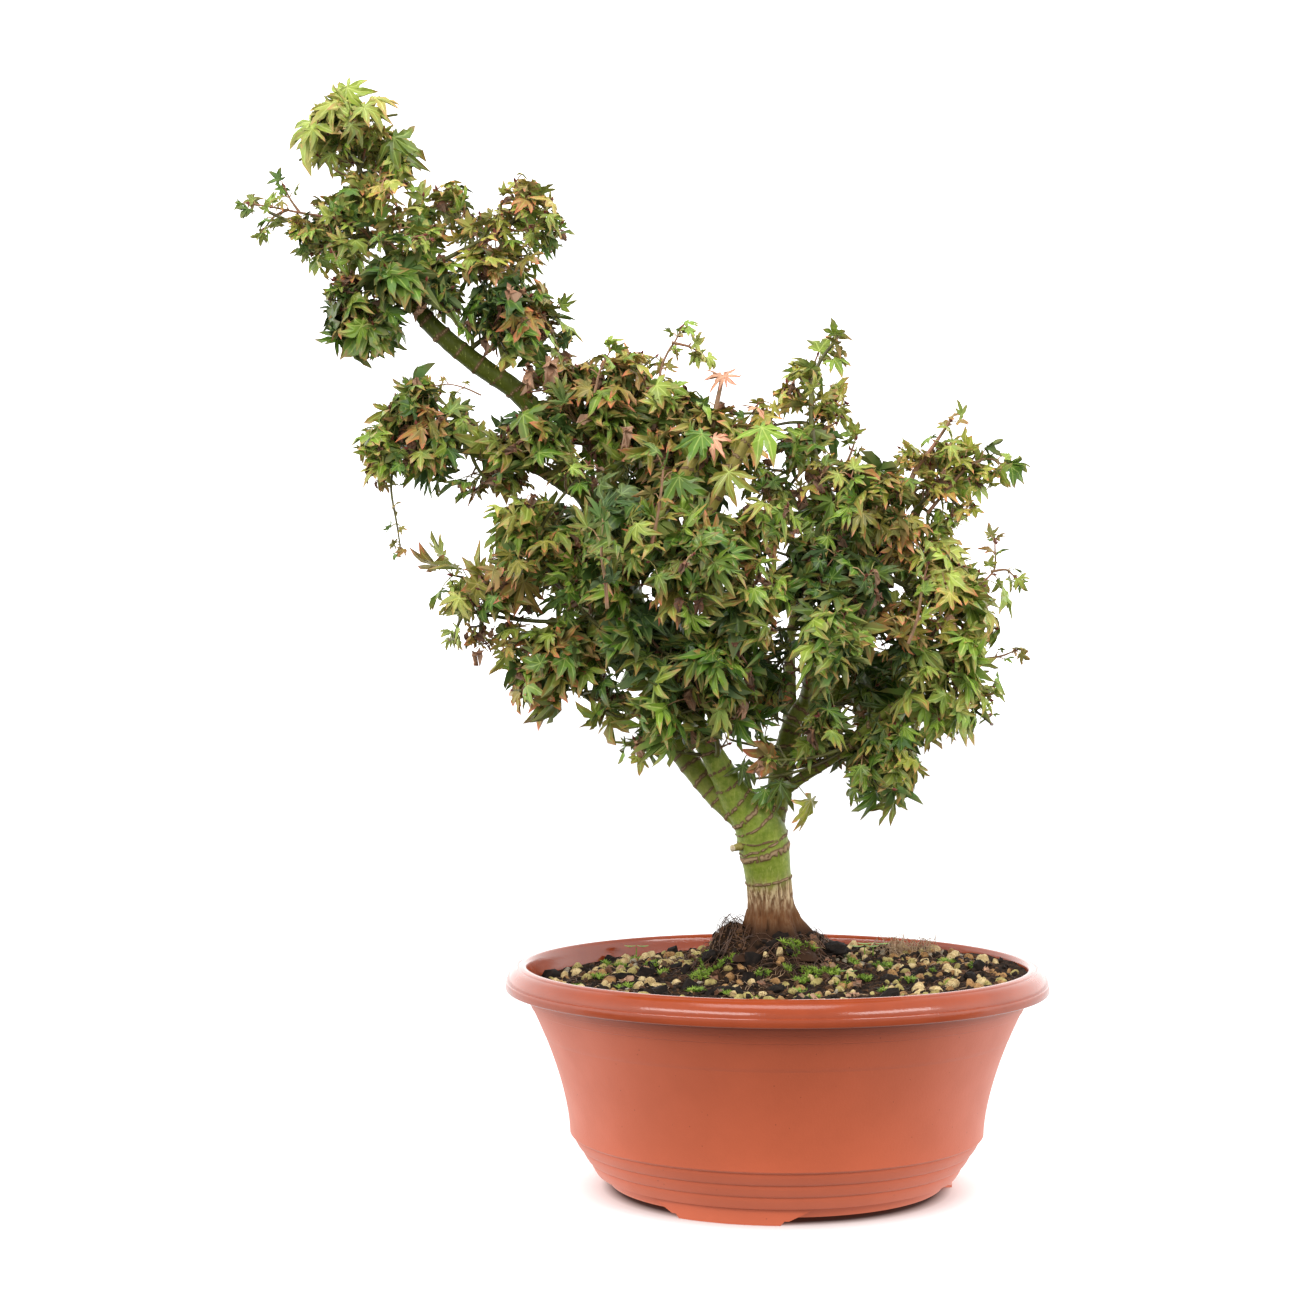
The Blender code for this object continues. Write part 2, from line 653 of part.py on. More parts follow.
def grow_twig(space, root, heading, trees, wood, nodes):
    """One side twig, as long as its space allows, and the nodes where its leaves stand."""
    length = space.reach(root, heading) * TWIG_SHARE
    if length < TWIG_LEAST:
        return
    tip = root + heading * length
    twig = tube([(root, heading, TWIG_RADII[0]), (tip, heading, TWIG_RADII[1])], TWIG_SIDES)
    if touches(twig, trees) or not space.holds([vert.co for vert in twig.verts]):
        twig.free()
        return
    wood.append(twig)
    for seat, turn in LEAF_SEATS["twig"]:
        nodes.append((tip - heading * seat, heading, turn))


def grow_leaf(space, root, heading, turn, trees, wood_trees, leaf_trees, rng, leaves):
    """One leaf that faces up and out, hangs a little and crosses nothing, or none at all."""
    outward = (root - space.centre).normalized()
    flat = (UP + outward * LEAF_OUTWARD).normalized()
    for attempt in range(len(LEAF_LENGTHS) * LEAF_TRIES):
        length = LEAF_LENGTHS[attempt // LEAF_TRIES]
        lean = turn_about(heading, flat, turn + rng.uniform(-LEAF_SWING, LEAF_SWING))
        lean += outward * rng.uniform(0.0, LEAF_SWING)
        lean -= UP * rng.uniform(-0.1, LEAF_SWING)
        lean.normalize()
        normal = flat + Vector([rng.uniform(-LEAF_SWING, LEAF_SWING) for _ in range(3)])
        normal = (normal - lean * normal.dot(lean)).normalized()
        leaf = leaf_shape(root, lean, normal, length)
        blade = leaf_shape(root, lean, normal, length, blade_only=True)
        fits = space.holds([vert.co for vert in leaf.verts])
        fits = fits and not touches(leaf, trees + leaf_trees)
        fits = fits and not touches(blade, wood_trees)
        blade.free()
        if fits:
            leaves.append(leaf)
            leaf_trees.append(BVHTree.FromBMesh(leaf))
            return
        leaf.free()


def make_foliage(lines):
    """Every mass of foliage, each joined into one body with its stem."""
    spaces = find_spaces()
    stems = {space.name: stem_line(space, lines) for space in spaces}
    limb_trees = [
        BVHTree.FromBMesh(tube(stations, sides, swell=GAP, ripple=ripple))
        for stations, sides, ripple in lines.values()]
    stem_trees = {
        name: BVHTree.FromBMesh(tube(stem, TWIG_SIDES, swell=GAP))
        for name, stem in stems.items()}
    masses = []
    for index, space in enumerate(spaces):
        rng = random.Random(SEED + index)
        trees = limb_trees + [tree for name, tree in stem_trees.items() if name != space.name]
        wood, shapes = grow_mass(space, stems[space.name], trees, rng)
        mass = add_object(space.name, wood, "leaf")
        combine(mass, "UNION", shapes)
        masses.append(mass)
    return masses


def stand_over_origin(pieces):
    """Carries every piece on one empty that centres their common box over the origin."""
    places = [vert.co.x for piece in pieces for vert in piece.data.vertices]
    carrier = bpy.data.objects.new("carrier", None)
    bpy.context.scene.collection.objects.link(carrier)
    carrier.location.x = -0.5 * (min(places) + max(places))
    for piece in pieces:
        piece.parent = carrier


clear_scene()
limb_stations = limb_lines()
stand_over_origin([make_bowl(), make_soil()] + make_limbs(limb_stations) + make_foliage(limb_stations))
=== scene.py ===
import json
import random
from math import cos, exp, pi, radians, sin, sqrt, tau

import bmesh
import bpy
import numpy as np
from mathutils import Matrix, Vector
from mathutils.kdtree import KDTree
from mathutils.noise import noise

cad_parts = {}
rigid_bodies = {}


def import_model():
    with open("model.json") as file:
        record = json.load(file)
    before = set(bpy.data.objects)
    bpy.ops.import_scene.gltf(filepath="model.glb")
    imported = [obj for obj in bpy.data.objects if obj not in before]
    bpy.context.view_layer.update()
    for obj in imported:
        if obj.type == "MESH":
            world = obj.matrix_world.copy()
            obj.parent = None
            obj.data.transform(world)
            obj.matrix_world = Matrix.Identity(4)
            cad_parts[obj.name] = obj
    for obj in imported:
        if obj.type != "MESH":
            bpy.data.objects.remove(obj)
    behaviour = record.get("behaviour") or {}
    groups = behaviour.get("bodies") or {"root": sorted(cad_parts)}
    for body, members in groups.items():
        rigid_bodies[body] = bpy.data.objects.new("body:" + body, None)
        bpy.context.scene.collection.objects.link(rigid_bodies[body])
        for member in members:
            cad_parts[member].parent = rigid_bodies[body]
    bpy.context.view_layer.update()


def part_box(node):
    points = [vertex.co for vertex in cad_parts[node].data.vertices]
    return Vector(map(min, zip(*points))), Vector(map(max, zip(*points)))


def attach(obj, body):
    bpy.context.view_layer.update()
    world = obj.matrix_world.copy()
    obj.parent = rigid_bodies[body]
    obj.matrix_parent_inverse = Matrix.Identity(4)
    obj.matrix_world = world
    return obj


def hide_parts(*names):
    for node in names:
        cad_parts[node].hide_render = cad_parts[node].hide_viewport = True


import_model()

# Studio: a white table that runs out of sight in a round white tent, which is brightest low down
# and at its sides, with two softboxes in front, whose reflections lie along the bowl's rim, and
# one overhead. The table glows like a lamp: to the camera it is white, with a painted contact
# shadow round the bowl's base and painted shade under its base ring; to other rays it glows most
# near the bowl and at the back. The camera stands level, a little to the left of the bowl's axis.
MM = 0.001
UP = Vector((0.0, 0.0, 1.0))
CAMERA_PLACE = Vector((-0.0699, -1.34, 0.2966))
CAMERA_LENS = 66.85
FLOOR_RADIUS = 9.0
FLOOR_DROP = 0.1 * MM
TENT_LOW = 2.2
TENT_TOP = 0.8
TENT_FRONT = 0.35
TENT_RISE = (0.2, 0.9)
TENT_DEPTH = (-0.9, -0.1)
TABLE_WHITE = 0.04
TABLE_SEEN_WHITE = 0.72
TABLE_SEEN_GLOW = 0.45
# Painted contact shadow: distances from the bowl's axis over which the glow the camera sees rises
# from none to full
TABLE_SHADE = (0.087, 0.116)
# Painted gap shade: distances over which the table the camera sees turns from nearly black under
# the base ring to white
TABLE_PAINTED_GAP_SHADE = (0.088, 0.097)
# Glow of the table for all but camera rays, which lights the bowl: most near it and at the back,
# dim elsewhere
TABLE_NEAR = (0.13, 0.18)
TABLE_NEAR_GLOW = 0.6
TABLE_BACK = (-0.22, -0.02)
TABLE_BACK_GLOW = 1.25
TABLE_DIM = 0.08
SOFTBOXES = {
    "softbox_left": ((-1.30, -1.75, 1.35), (2.0, 0.7), 35.0),
    "softbox_right": ((1.6, -1.45, 1.25), (1.5, 0.7), 26.0),
    "softbox_top": ((-0.1, -0.5, 2.3), (1.4, 1.0), 17.0),
}
SOFTBOX_AIM = Vector((0.0, 0.0, 0.25))

bowl_low, bowl_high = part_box("bowl")
standing = Vector((0.5 * (bowl_low.x + bowl_high.x), 0.5 * (bowl_low.y + bowl_high.y), 0.0))


def new_object(name, data):
    made = bpy.data.objects.new(name, data)
    bpy.context.scene.collection.objects.link(made)
    return made


def node(tree, kind, inputs=None, **settings):
    """Adds a node, with its settings, and its inputs as values or as sockets to link."""
    made = tree.nodes.new(kind)
    for key, value in settings.items():
        setattr(made, key, value)
    for key, value in (inputs or {}).items():
        if isinstance(value, bpy.types.NodeSocket):
            tree.links.new(value, made.inputs[key])
        else:
            made.inputs[key].default_value = value
    return made


def remap(tree, value, low, high, to_low=0.0, to_high=1.0, smooth=False):
    """Socket that goes from one value to another while its input goes from low to high."""
    return node(tree, "ShaderNodeMapRange", {
        "Value": value, "From Min": low, "From Max": high, "To Min": to_low, "To Max": to_high},
        interpolation_type="SMOOTHSTEP" if smooth else "LINEAR").outputs["Result"]


def maths(tree, operation, *values):
    """Socket of one operation on two or three values or sockets."""
    return node(tree, "ShaderNodeMath", dict(enumerate(values)), operation=operation).outputs[0]


def blend_colours(tree, share, *colours):
    """Colour socket that goes from the first colour to the second by share."""
    first, second = [(*one, 1.0) if isinstance(one, tuple) else one for one in colours]
    return node(tree, "ShaderNodeMix", {0: share, 6: first, 7: second},
                data_type="RGBA").outputs[2]


def object_place(tree):
    return node(tree, "ShaderNodeTexCoord").outputs["Object"]


def plain_material(name, colour, roughness, shine=0.5):
    """Material of one Principled shader; returns the material, its tree and the shader."""
    made = bpy.data.materials.new(name)
    made.use_nodes = True
    shader = made.node_tree.nodes["Principled BSDF"]
    shader.inputs["Base Color"].default_value = (*colour, 1.0)
    shader.inputs["Roughness"].default_value = roughness
    shader.inputs["Specular IOR Level"].default_value = shine
    return made, made.node_tree, shader


camera = new_object("camera", bpy.data.cameras.new("camera"))
camera.location = standing + CAMERA_PLACE
camera.rotation_euler = (0.5 * pi, 0.0, 0.0)
camera.data.lens = CAMERA_LENS
camera.data.sensor_width = 36.0
camera.data.clip_start = 0.05
bpy.context.scene.camera = camera
bpy.context.scene.view_settings.view_transform = "Standard"

world = bpy.data.worlds.new("white_room")
world.use_nodes = True
tent = world.node_tree
tent.nodes["Background"].inputs["Color"].default_value = (1.0, 1.0, 1.0, 1.0)
looking = node(tent, "ShaderNodeTexCoord")
way = node(tent, "ShaderNodeSeparateXYZ", {0: looking.outputs["Generated"]})
by_height = remap(tent, way.outputs["Z"], *TENT_RISE, TENT_LOW, TENT_TOP, True)
by_depth = remap(tent, way.outputs["Y"], *TENT_DEPTH, TENT_FRONT, 1.0, True)
tent.links.new(maths(tent, "MULTIPLY", by_height, by_depth),
               tent.nodes["Background"].inputs["Strength"])
bpy.context.scene.world = world

for name, (place, size, power) in SOFTBOXES.items():
    lamp = bpy.data.lights.new(name, "AREA")
    lamp.shape = "RECTANGLE"
    lamp.size, lamp.size_y = size
    lamp.energy = power
    softbox = new_object(name, lamp)
    softbox.location = standing + Vector(place)
    aim = standing + SOFTBOX_AIM - softbox.location
    softbox.rotation_euler = aim.to_track_quat("-Z", "Y").to_euler()

floor_shape = bmesh.new()
bmesh.ops.create_circle(floor_shape, cap_ends=True, segments=96, radius=FLOOR_RADIUS)
bmesh.ops.translate(floor_shape, verts=floor_shape.verts, vec=(0.0, 0.0, -FLOOR_DROP))
floor_mesh = bpy.data.meshes.new("floor")
floor_shape.to_mesh(floor_mesh)
floor_shape.free()
floor = new_object("floor", floor_mesh)
white_table, table_tree, table_shader = plain_material("white_table", (TABLE_WHITE,) * 3, 0.9)
table_shader.inputs["Emission Color"].default_value = (1.0, 1.0, 1.0, 1.0)
seen = node(table_tree, "ShaderNodeLightPath").outputs["Is Camera Ray"]
table_place = object_place(table_tree)
from_bowl = node(table_tree, "ShaderNodeVectorMath", {0: table_place, 1: standing},
                 operation="DISTANCE").outputs["Value"]
depth = node(table_tree, "ShaderNodeSeparateXYZ", {0: table_place}).outputs["Y"]
# For all but camera rays the table glows and lights the bowl, most near it and at the back.
lit = maths(table_tree, "MAXIMUM",
            remap(table_tree, from_bowl, *TABLE_NEAR, TABLE_NEAR_GLOW, TABLE_DIM),
            remap(table_tree, depth, *TABLE_BACK, 0.0, TABLE_BACK_GLOW))
# Painted contact shadow: the glow that the camera sees fades out towards the bowl's base.
shade = remap(table_tree, from_bowl, *TABLE_SHADE, 0.0, TABLE_SEEN_GLOW, True)
glow = node(table_tree, "ShaderNodeMix", {0: seen, 2: lit, 3: shade}, data_type="FLOAT")
# Painted gap shade: to the camera the table is nearly black under the bowl's base ring.
white = blend_colours(
    table_tree, maths(table_tree, "MULTIPLY", seen, remap(table_tree, from_bowl, *TABLE_PAINTED_GAP_SHADE)),
    (TABLE_WHITE,) * 3, (TABLE_SEEN_WHITE,) * 3)
table_tree.links.new(white, table_shader.inputs["Base Color"])
table_tree.links.new(glow.outputs[0], table_shader.inputs["Emission Strength"])
floor.data.materials.append(white_table)

# Bowl: one round bowl, moulded in thin terracotta-coloured plastic, with a rolled rim that is
# glossier than the body, three rounded steps above a set-back base ring, and three low feet.
# Object coordinates turn about the bowl's own axis, which lies to one side of the origin.
SEGMENTS = 160
WALL = 2.6 * MM
RIM_LIP_HEIGHT = 109.6 * MM
BODY_FOOT_RADIUS = 114.2 * MM
BODY_FOOT_HEIGHT = 31 * MM
BODY_FLARE = 20.8 * MM
BODY_FLARE_HEIGHT = 69 * MM
BODY_FLARE_POWER = 1.6
STEPS = 3
STEP_HEIGHT = 7 * MM
STEP_SLOPE = 2.7 * MM
STEP_LEDGE = 1.9 * MM
STEP_ROUND = 1.3 * MM
NECK_LINES = ((104 * MM, 0.45 * MM), (99.6 * MM, 0.35 * MM), (84.5 * MM, 0.10 * MM))
BASE_RING_RADIUS = 93.6 * MM
BASE_RING_WIDTH = 5 * MM
BASE_RING_HEIGHT = 3.2 * MM
FLOOR_HEIGHT = 5 * MM
BODY_DULLNESS = 0.36
RIM_DULLNESS = 0.05
RIM_TOP = [
    (137.6, 118), (138, 120.6), (138.5, 122.1), (139.3, 122.8), (140.4, 123), (141.6, 122.75),
    (142.5, 122.3), (142.9, 121.6), (143.3, 121.4), (144.1, 121.75), (145.2, 121.25),
    (146.4, 120.3), (147.5, 119), (148.4, 117.5), (149, 116), (149.1, 115), (149.15, 114.5),
    (149.8, 114.3), (150, 113.8), (150, 110.9), (149.8, 110), (149.3, 109.6), (147.4, 109.6),
    (147.1, 110), (147, 112.2)]
FOOT_ANGLES = [radians(value) for value in (-18.0, 102.0, 222.0)]
FOOT_OUTLINE = [
    (-28, 9), (-19, 2.2), (-17.6, 2.2), (-16.4, 0), (-12, 0), (-8, 0), (-4, 0), (0, 0), (4, 0),
    (8, 0), (12, 0), (16.4, 0), (17.6, 2.2), (19, 2.2), (28, 9)]
FOOT_SECTION = ((84.0, 5.6), (97.0, None), (97.4, 10.8), (92.5, 10.8))


def effect_group(name, inputs, outputs):
    """Empty shader node group with named inputs and outputs."""
    tree = bpy.data.node_groups.new(name, "ShaderNodeTree")
    for label, kind, value in inputs:
        socket = tree.interface.new_socket(name=label, in_out="INPUT", socket_type=kind)
        socket.default_value = value
    for label, kind in outputs:
        tree.interface.new_socket(name=label, in_out="OUTPUT", socket_type=kind)
    return tree, tree.nodes.new("NodeGroupInput"), tree.nodes.new("NodeGroupOutput")


# Mottle: two tints of one finish in soft patches, and its own height for a bump
mottle, mottle_in, mottle_out = effect_group(
    "mottle",
    [("Tint One", "NodeSocketColor", (0.5, 0.5, 0.5, 1.0)),
     ("Tint Two", "NodeSocketColor", (0.4, 0.4, 0.4, 1.0)),
     ("Patches Per Metre", "NodeSocketFloat", 100.0),
     ("Contrast", "NodeSocketFloat", 0.25)],
    [("Colour", "NodeSocketColor"), ("Height", "NodeSocketFloat")])
mottle_noise = node(mottle, "ShaderNodeTexNoise", {
    "Vector": object_place(mottle), "Scale": mottle_in.outputs["Patches Per Metre"],
    "Detail": 4.0, "Roughness": 0.6}).outputs["Fac"]
mottle_share = remap(
    mottle, mottle_noise, maths(mottle, "SUBTRACT", 0.5, mottle_in.outputs["Contrast"]),
    maths(mottle, "ADD", 0.5, mottle_in.outputs["Contrast"]), smooth=True)
mottle.links.new(
    blend_colours(mottle, mottle_share, mottle_in.outputs["Tint One"],
                  mottle_in.outputs["Tint Two"]), mottle_out.inputs["Colour"])
mottle.links.new(mottle_noise, mottle_out.inputs["Height"])

# Specks: small scattered spots of another colour, such as crumbs of soil or dull scuffs
specks, specks_in, specks_out = effect_group(
    "specks",
    [("Specks Per Metre", "NodeSocketFloat", 200.0), ("Share", "NodeSocketFloat", 0.1)],
    [("Mask", "NodeSocketFloat")])
specks_place = object_place(specks)
specks_cells = node(specks, "ShaderNodeTexVoronoi", {
    "Vector": specks_place, "Scale": specks_in.outputs["Specks Per Metre"]})
specks_patch = node(specks, "ShaderNodeTexNoise", {
    "Vector": specks_place, "Scale": 38.0, "Detail": 2.0})
specks_size = maths(specks, "MULTIPLY", specks_patch.outputs["Fac"], specks_in.outputs["Share"])
specks.links.new(maths(specks, "LESS_THAN", specks_cells.outputs["Distance"], specks_size),
                 specks_out.inputs["Mask"])


def use_group(tree, group, inputs):
    return node(tree, "ShaderNodeGroup", inputs, node_tree=group).outputs


def mottled(tree, first, second, patches, contrast=0.2):
    """Outputs of a mottle in two tints."""
    return use_group(tree, mottle, {
        "Tint One": (*first, 1.0), "Tint Two": (*second, 1.0),
        "Patches Per Metre": patches, "Contrast": contrast})


def speckled(tree, colour, tint, per_metre, share):
    """Colour socket with small spots of another tint."""
    mask = use_group(tree, specks, {"Specks Per Metre": per_metre, "Share": share})
    return blend_colours(tree, mask["Mask"], colour, tint)


def height_share(tree, low, high):
    """Share that rises from 0 at one height above the floor to 1 at another."""
    parts = node(tree, "ShaderNodeSeparateXYZ", {0: object_place(tree)})
    return remap(tree, parts.outputs["Z"], low, high, smooth=True)


def dress(tree, shader, colour, roughness, height, relief):
    """Links a finish's colour and height, and its roughness where that varies."""
    tree.links.new(colour, shader.inputs["Base Color"])
    if roughness:
        tree.links.new(roughness, shader.inputs["Roughness"])
    strength, distance = relief
    made = node(tree, "ShaderNodeBump", {
        "Height": height, "Strength": strength, "Distance": distance})
    tree.links.new(made.outputs["Normal"], shader.inputs["Normal"])


def mottled_finish(name, tints, patches, contrast, roughness, shine, relief, spots=None):
    """Finish in two tints with a relief of its own and, where asked, spots of another tint."""
    made, tree, shader = plain_material(name, tints[0], roughness, shine)
    tint = mottled(tree, *tints, patches, contrast)
    colour = speckled(tree, tint["Colour"], *spots) if spots else tint["Colour"]
    dress(tree, shader, colour, None, tint["Height"], relief)
    return made


def terracotta_plastic():
    """Satin moulded plastic: a dusty, paler body, a deep glossy rim and a dull pink inside."""
    made, tree, shader = plain_material("terracotta_plastic", (0.52, 0.13, 0.065), 0.42)
    body = mottled(tree, (0.520, 0.106, 0.042), (0.475, 0.095, 0.036), 26.0, 0.22)
    rim = mottled(tree, (0.340, 0.058, 0.0175), (0.300, 0.050, 0.015), 40.0)
    up_to_rim = height_share(tree, 106 * MM, 109 * MM)
    colour = blend_colours(tree, up_to_rim, body["Colour"], rim["Colour"])
    colour = speckled(tree, colour, (0.33, 0.065, 0.024), 150.0, 0.10)
    dullness = remap(tree, up_to_rim, 0.0, 1.0, BODY_DULLNESS, RIM_DULLNESS)
    wear = maths(tree, "MULTIPLY_ADD", body["Height"], 0.16, dullness)
    grain = node(tree, "ShaderNodeTexNoise", {
        "Vector": object_place(tree), "Scale": 900.0, "Detail": 2.0}).outputs["Fac"]
    dress(tree, shader, colour, wear, grain, (0.16, 0.4 * MM))
    return made


def settle(name, mesh, nodes, smooth_below=None, finish=None):
    """Finished piece on the frame's one body, with its place in its mesh."""
    mesh.name = name
    mesh.transform(Matrix.Translation(standing))
    if finish:
        mesh.materials.clear()
        mesh.materials.append(finish)
    if smooth_below is not None:
        mesh.shade_smooth()
        mesh.set_sharp_from_angle(angle=radians(smooth_below))
    piece = new_object(name, mesh)
    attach(piece, "root")
    if nodes:
        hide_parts(*nodes)
    return piece


def loft(shape, rings):
    """Faces between one ring of points and the next; a ring of one point closes an end."""
    for ring, following in zip(rings, rings[1:]):
        count = max(len(ring), len(following))
        for index in range(count):
            other = (index + 1) % count
            corners = [ring[index % len(ring)], ring[other % len(ring)],
                       following[other % len(following)], following[index % len(following)]]
            shape.faces.new(list(dict.fromkeys(corners)))


def turned(profile, segments):
    """Solid of revolution about Z from (radius, height) pairs that start and end on the axis."""
    shape = bmesh.new()
    rings = []
    for radius, height in profile:
        count = 1 if radius == 0.0 else segments
        rings.append([shape.verts.new((
            radius * sin(tau * index / segments),
            -radius * cos(tau * index / segments), height)) for index in range(count)])
    loft(shape, rings)
    bmesh.ops.recalc_face_normals(shape, faces=shape.faces)
    return shape


def body_radius(height):
    """Outside of the bowl between its steps and its rim, with two fine lines under the rim."""
    share = max(0.0, (height - BODY_FOOT_HEIGHT) / BODY_FLARE_HEIGHT)
    return BODY_FOOT_RADIUS + BODY_FLARE * share ** BODY_FLARE_POWER + sum(
        ledge for line_height, ledge in NECK_LINES if height > line_height)


def inner_wall():
    """Inside of the bowl from the middle of its floor up to just below its mouth."""
    floor_level = FLOOR_HEIGHT + WALL
    heights = np.linspace(BODY_FOOT_HEIGHT, 104 * MM, 14)
    profile = [(0.0, floor_level), (BASE_RING_RADIUS - BASE_RING_WIDTH, floor_level)]
    profile += [(body_radius(height) - WALL, height) for height in heights]
    return profile


def outer_wall():
    """Outside of the body down its steps, and in under the base."""
    line_heights = [height + shift for height, _ in NECK_LINES for shift in (0.15 * MM, -0.15 * MM)]
    heights = list(np.linspace(RIM_LIP_HEIGHT + 2.6 * MM, BODY_FOOT_HEIGHT, 30)) + line_heights
    profile = [(body_radius(height), height) for height in sorted(heights, reverse=True)]
    radius, height = BODY_FOOT_RADIUS, BODY_FOOT_HEIGHT
    for _ in range(STEPS):
        profile += [
            (radius - 0.25 * STEP_LEDGE, height - 0.5 * STEP_ROUND),
            (radius - STEP_LEDGE, height - STEP_ROUND),
            (radius - 1.02 * STEP_LEDGE, height - 1.7 * STEP_ROUND)]
        radius -= STEP_LEDGE
        profile += [(radius - STEP_SLOPE * share ** 1.9, height - STEP_HEIGHT * share)
                    for share in (0.55, 0.85)]
        radius -= STEP_SLOPE
        height -= STEP_HEIGHT
        profile.append((radius, height))
    inner = BASE_RING_RADIUS - BASE_RING_WIDTH
    profile += [
        (radius - 0.6 * MM, height - 0.9 * MM), (radius - 2 * MM, height - 1.3 * MM),
        (BASE_RING_RADIUS, height - 1.5 * MM), (BASE_RING_RADIUS - 0.6 * MM, 4.4 * MM),
        (BASE_RING_RADIUS - 1.4 * MM, BASE_RING_HEIGHT), (inner, BASE_RING_HEIGHT),
        (inner, FLOOR_HEIGHT), (0.0, FLOOR_HEIGHT)]
    return profile


def bowl_foot(middle):
    """One foot: a curved block whose underside narrows by a slope and a small step."""
    shape = bmesh.new()
    rings = []
    for degrees, low in FOOT_OUTLINE:
        angle = middle + radians(degrees)
        ring = []
        for radius, height in FOOT_SECTION:
            if height is None:
                height = low
            elif radius == FOOT_SECTION[0][0]:
                height = min(low, height)
            ring.append(shape.verts.new((
                radius * MM * sin(angle), -radius * MM * cos(angle), height * MM)))
        rings.append(ring)
    loft(shape, rings)
    shape.faces.new(rings[0])
    shape.faces.new(rings[-1])
    bmesh.ops.recalc_face_normals(shape, faces=shape.faces)
    return shape


def to_mesh(name, shape):
    mesh = bpy.data.meshes.new(name)
    shape.to_mesh(mesh)
    shape.free()
    return mesh


bowl_core = new_object("bowl_core", to_mesh("bowl_core", turned(
    inner_wall() + [(radius * MM, height * MM) for radius, height in RIM_TOP] + outer_wall(),
    SEGMENTS)))
feet = bpy.data.collections.new("feet")
for foot_angle in FOOT_ANGLES:
    feet.objects.link(bpy.data.objects.new("foot", to_mesh("foot", bowl_foot(foot_angle))))
moulding = bowl_core.modifiers.new("moulding", "BOOLEAN")
moulding.operation = "UNION"
moulding.operand_type = "COLLECTION"
moulding.collection = feet
moulding.solver = "EXACT"
bowl_mesh = bpy.data.meshes.new_from_object(
    bowl_core.evaluated_get(bpy.context.evaluated_depsgraph_get()))
for item in [bowl_core, *feet.objects]:
    bpy.data.objects.remove(item, do_unlink=True)
bpy.data.collections.remove(feet)
settle("bowl_shell", bowl_mesh, ["bowl"], 32.0, terracotta_plastic())

# Soil: dark, moist potting soil that fills the bowl, a little lower at the left and the back,
# and heaped up round the foot of the trunk. Its top is crumbly all over.
GAP = 0.3 * MM
TRUNK_FOOT = Vector((-0.5 * MM, 12 * MM))
SOIL_LEVEL = 115.5 * MM
SOIL_TILT = 0.034
SOIL_MOUND_TOP = 130 * MM
SOIL_PLATEAU = 24 * MM
SOIL_MOUND_REACH = 72 * MM
SOIL_BUMP = 1.6 * MM
SOIL_BUMP_SCALE = 60.0
SOIL_RINGS = 96
SOIL_SEGMENTS = 220
SOIL_EDGE_LOW = (135.2 * MM, 104 * MM)
SOIL_EDGE_HIGH = (138 * MM, 120.5 * MM)
CRUMBS = ((160.0, 1.5 * MM), (420.0, 1.2 * MM), (1000.0, 0.7 * MM))
SOIL_SHINE = 0.08
HEAPS = ((-0.5, 8, 30, 7.5), (-22, 10, 10, 8), (-34, 8, 9, 7), (25, 10, 9, 4))


def soil_height(x, y):
    """Level of the soil: a slight tilt, small bumps and a heap with a flat top at the trunk."""
    level = SOIL_LEVEL + SOIL_TILT * x
    level += SOIL_BUMP * noise(Vector((x, y, 0.0)) * SOIL_BUMP_SCALE)
    away = (Vector((x, y)) - TRUNK_FOOT).length
    share = min(1.0, max(0.0, (away - SOIL_PLATEAU) / (SOIL_MOUND_REACH - SOIL_PLATEAU)))
    level += (SOIL_MOUND_TOP - level) * (1.0 - share) ** 2
    for heap_x, heap_y, width, rise in HEAPS:
        apart = (Vector((x, y)) - Vector((heap_x, heap_y)) * MM).length / (width * MM)
        level += rise * MM * exp(-apart ** 2.5)
    return level


def crumbly_height(x, y):
    """Soil level with its crumbs, which die away towards the wall of the bowl."""
    level = soil_height(x, y)
    for scale, depth in CRUMBS:
        level += depth * noise(Vector((x, y, 0.07)) * scale)
    return level


def soil_radius(height):
    share = (height - SOIL_EDGE_LOW[1]) / (SOIL_EDGE_HIGH[1] - SOIL_EDGE_LOW[1])
    return SOIL_EDGE_LOW[0] + (SOIL_EDGE_HIGH[0] - SOIL_EDGE_LOW[0]) * share - GAP


def soil_body():
    """Closed body of soil: a fine crumbly top on a plain fill inside the bowl's wall."""
    wall = inner_wall()
    profile = [(0.0, wall[0][1] + GAP), (wall[1][0], wall[1][1] + GAP)]
    profile += [(radius - GAP, height) for radius, height in wall[2:]]
    profile += [
        (SOIL_EDGE_LOW[0] * share, SOIL_EDGE_HIGH[1])
        for share in np.linspace(1.0, 0.0, SOIL_RINGS)]
    shape = turned(profile, SOIL_SEGMENTS)
    for vert in shape.verts:
        if vert.co.z < SOIL_EDGE_HIGH[1] - 1e-6:
            continue
        outward = Vector((vert.co.x, vert.co.y))
        if outward.length > SOIL_EDGE_LOW[0] - 1e-6:
            height = soil_height(vert.co.x, vert.co.y)
            outward = outward.normalized() * soil_radius(height)
            vert.co = (*outward, height)
        else:
            vert.co.z = crumbly_height(vert.co.x, vert.co.y)
    return shape


potting_soil = mottled_finish(
    "potting_soil", ((0.010, 0.006, 0.004), (0.040, 0.021, 0.011)), 320.0, 0.12, 0.9, SOIL_SHINE,
    (0.8, 1.2 * MM), ((0.12, 0.060, 0.026), 520.0, 0.42))
settle("soil_surface", to_mesh("soil_surface", soil_body()), ["soil"], 70.0,
       potting_soil)

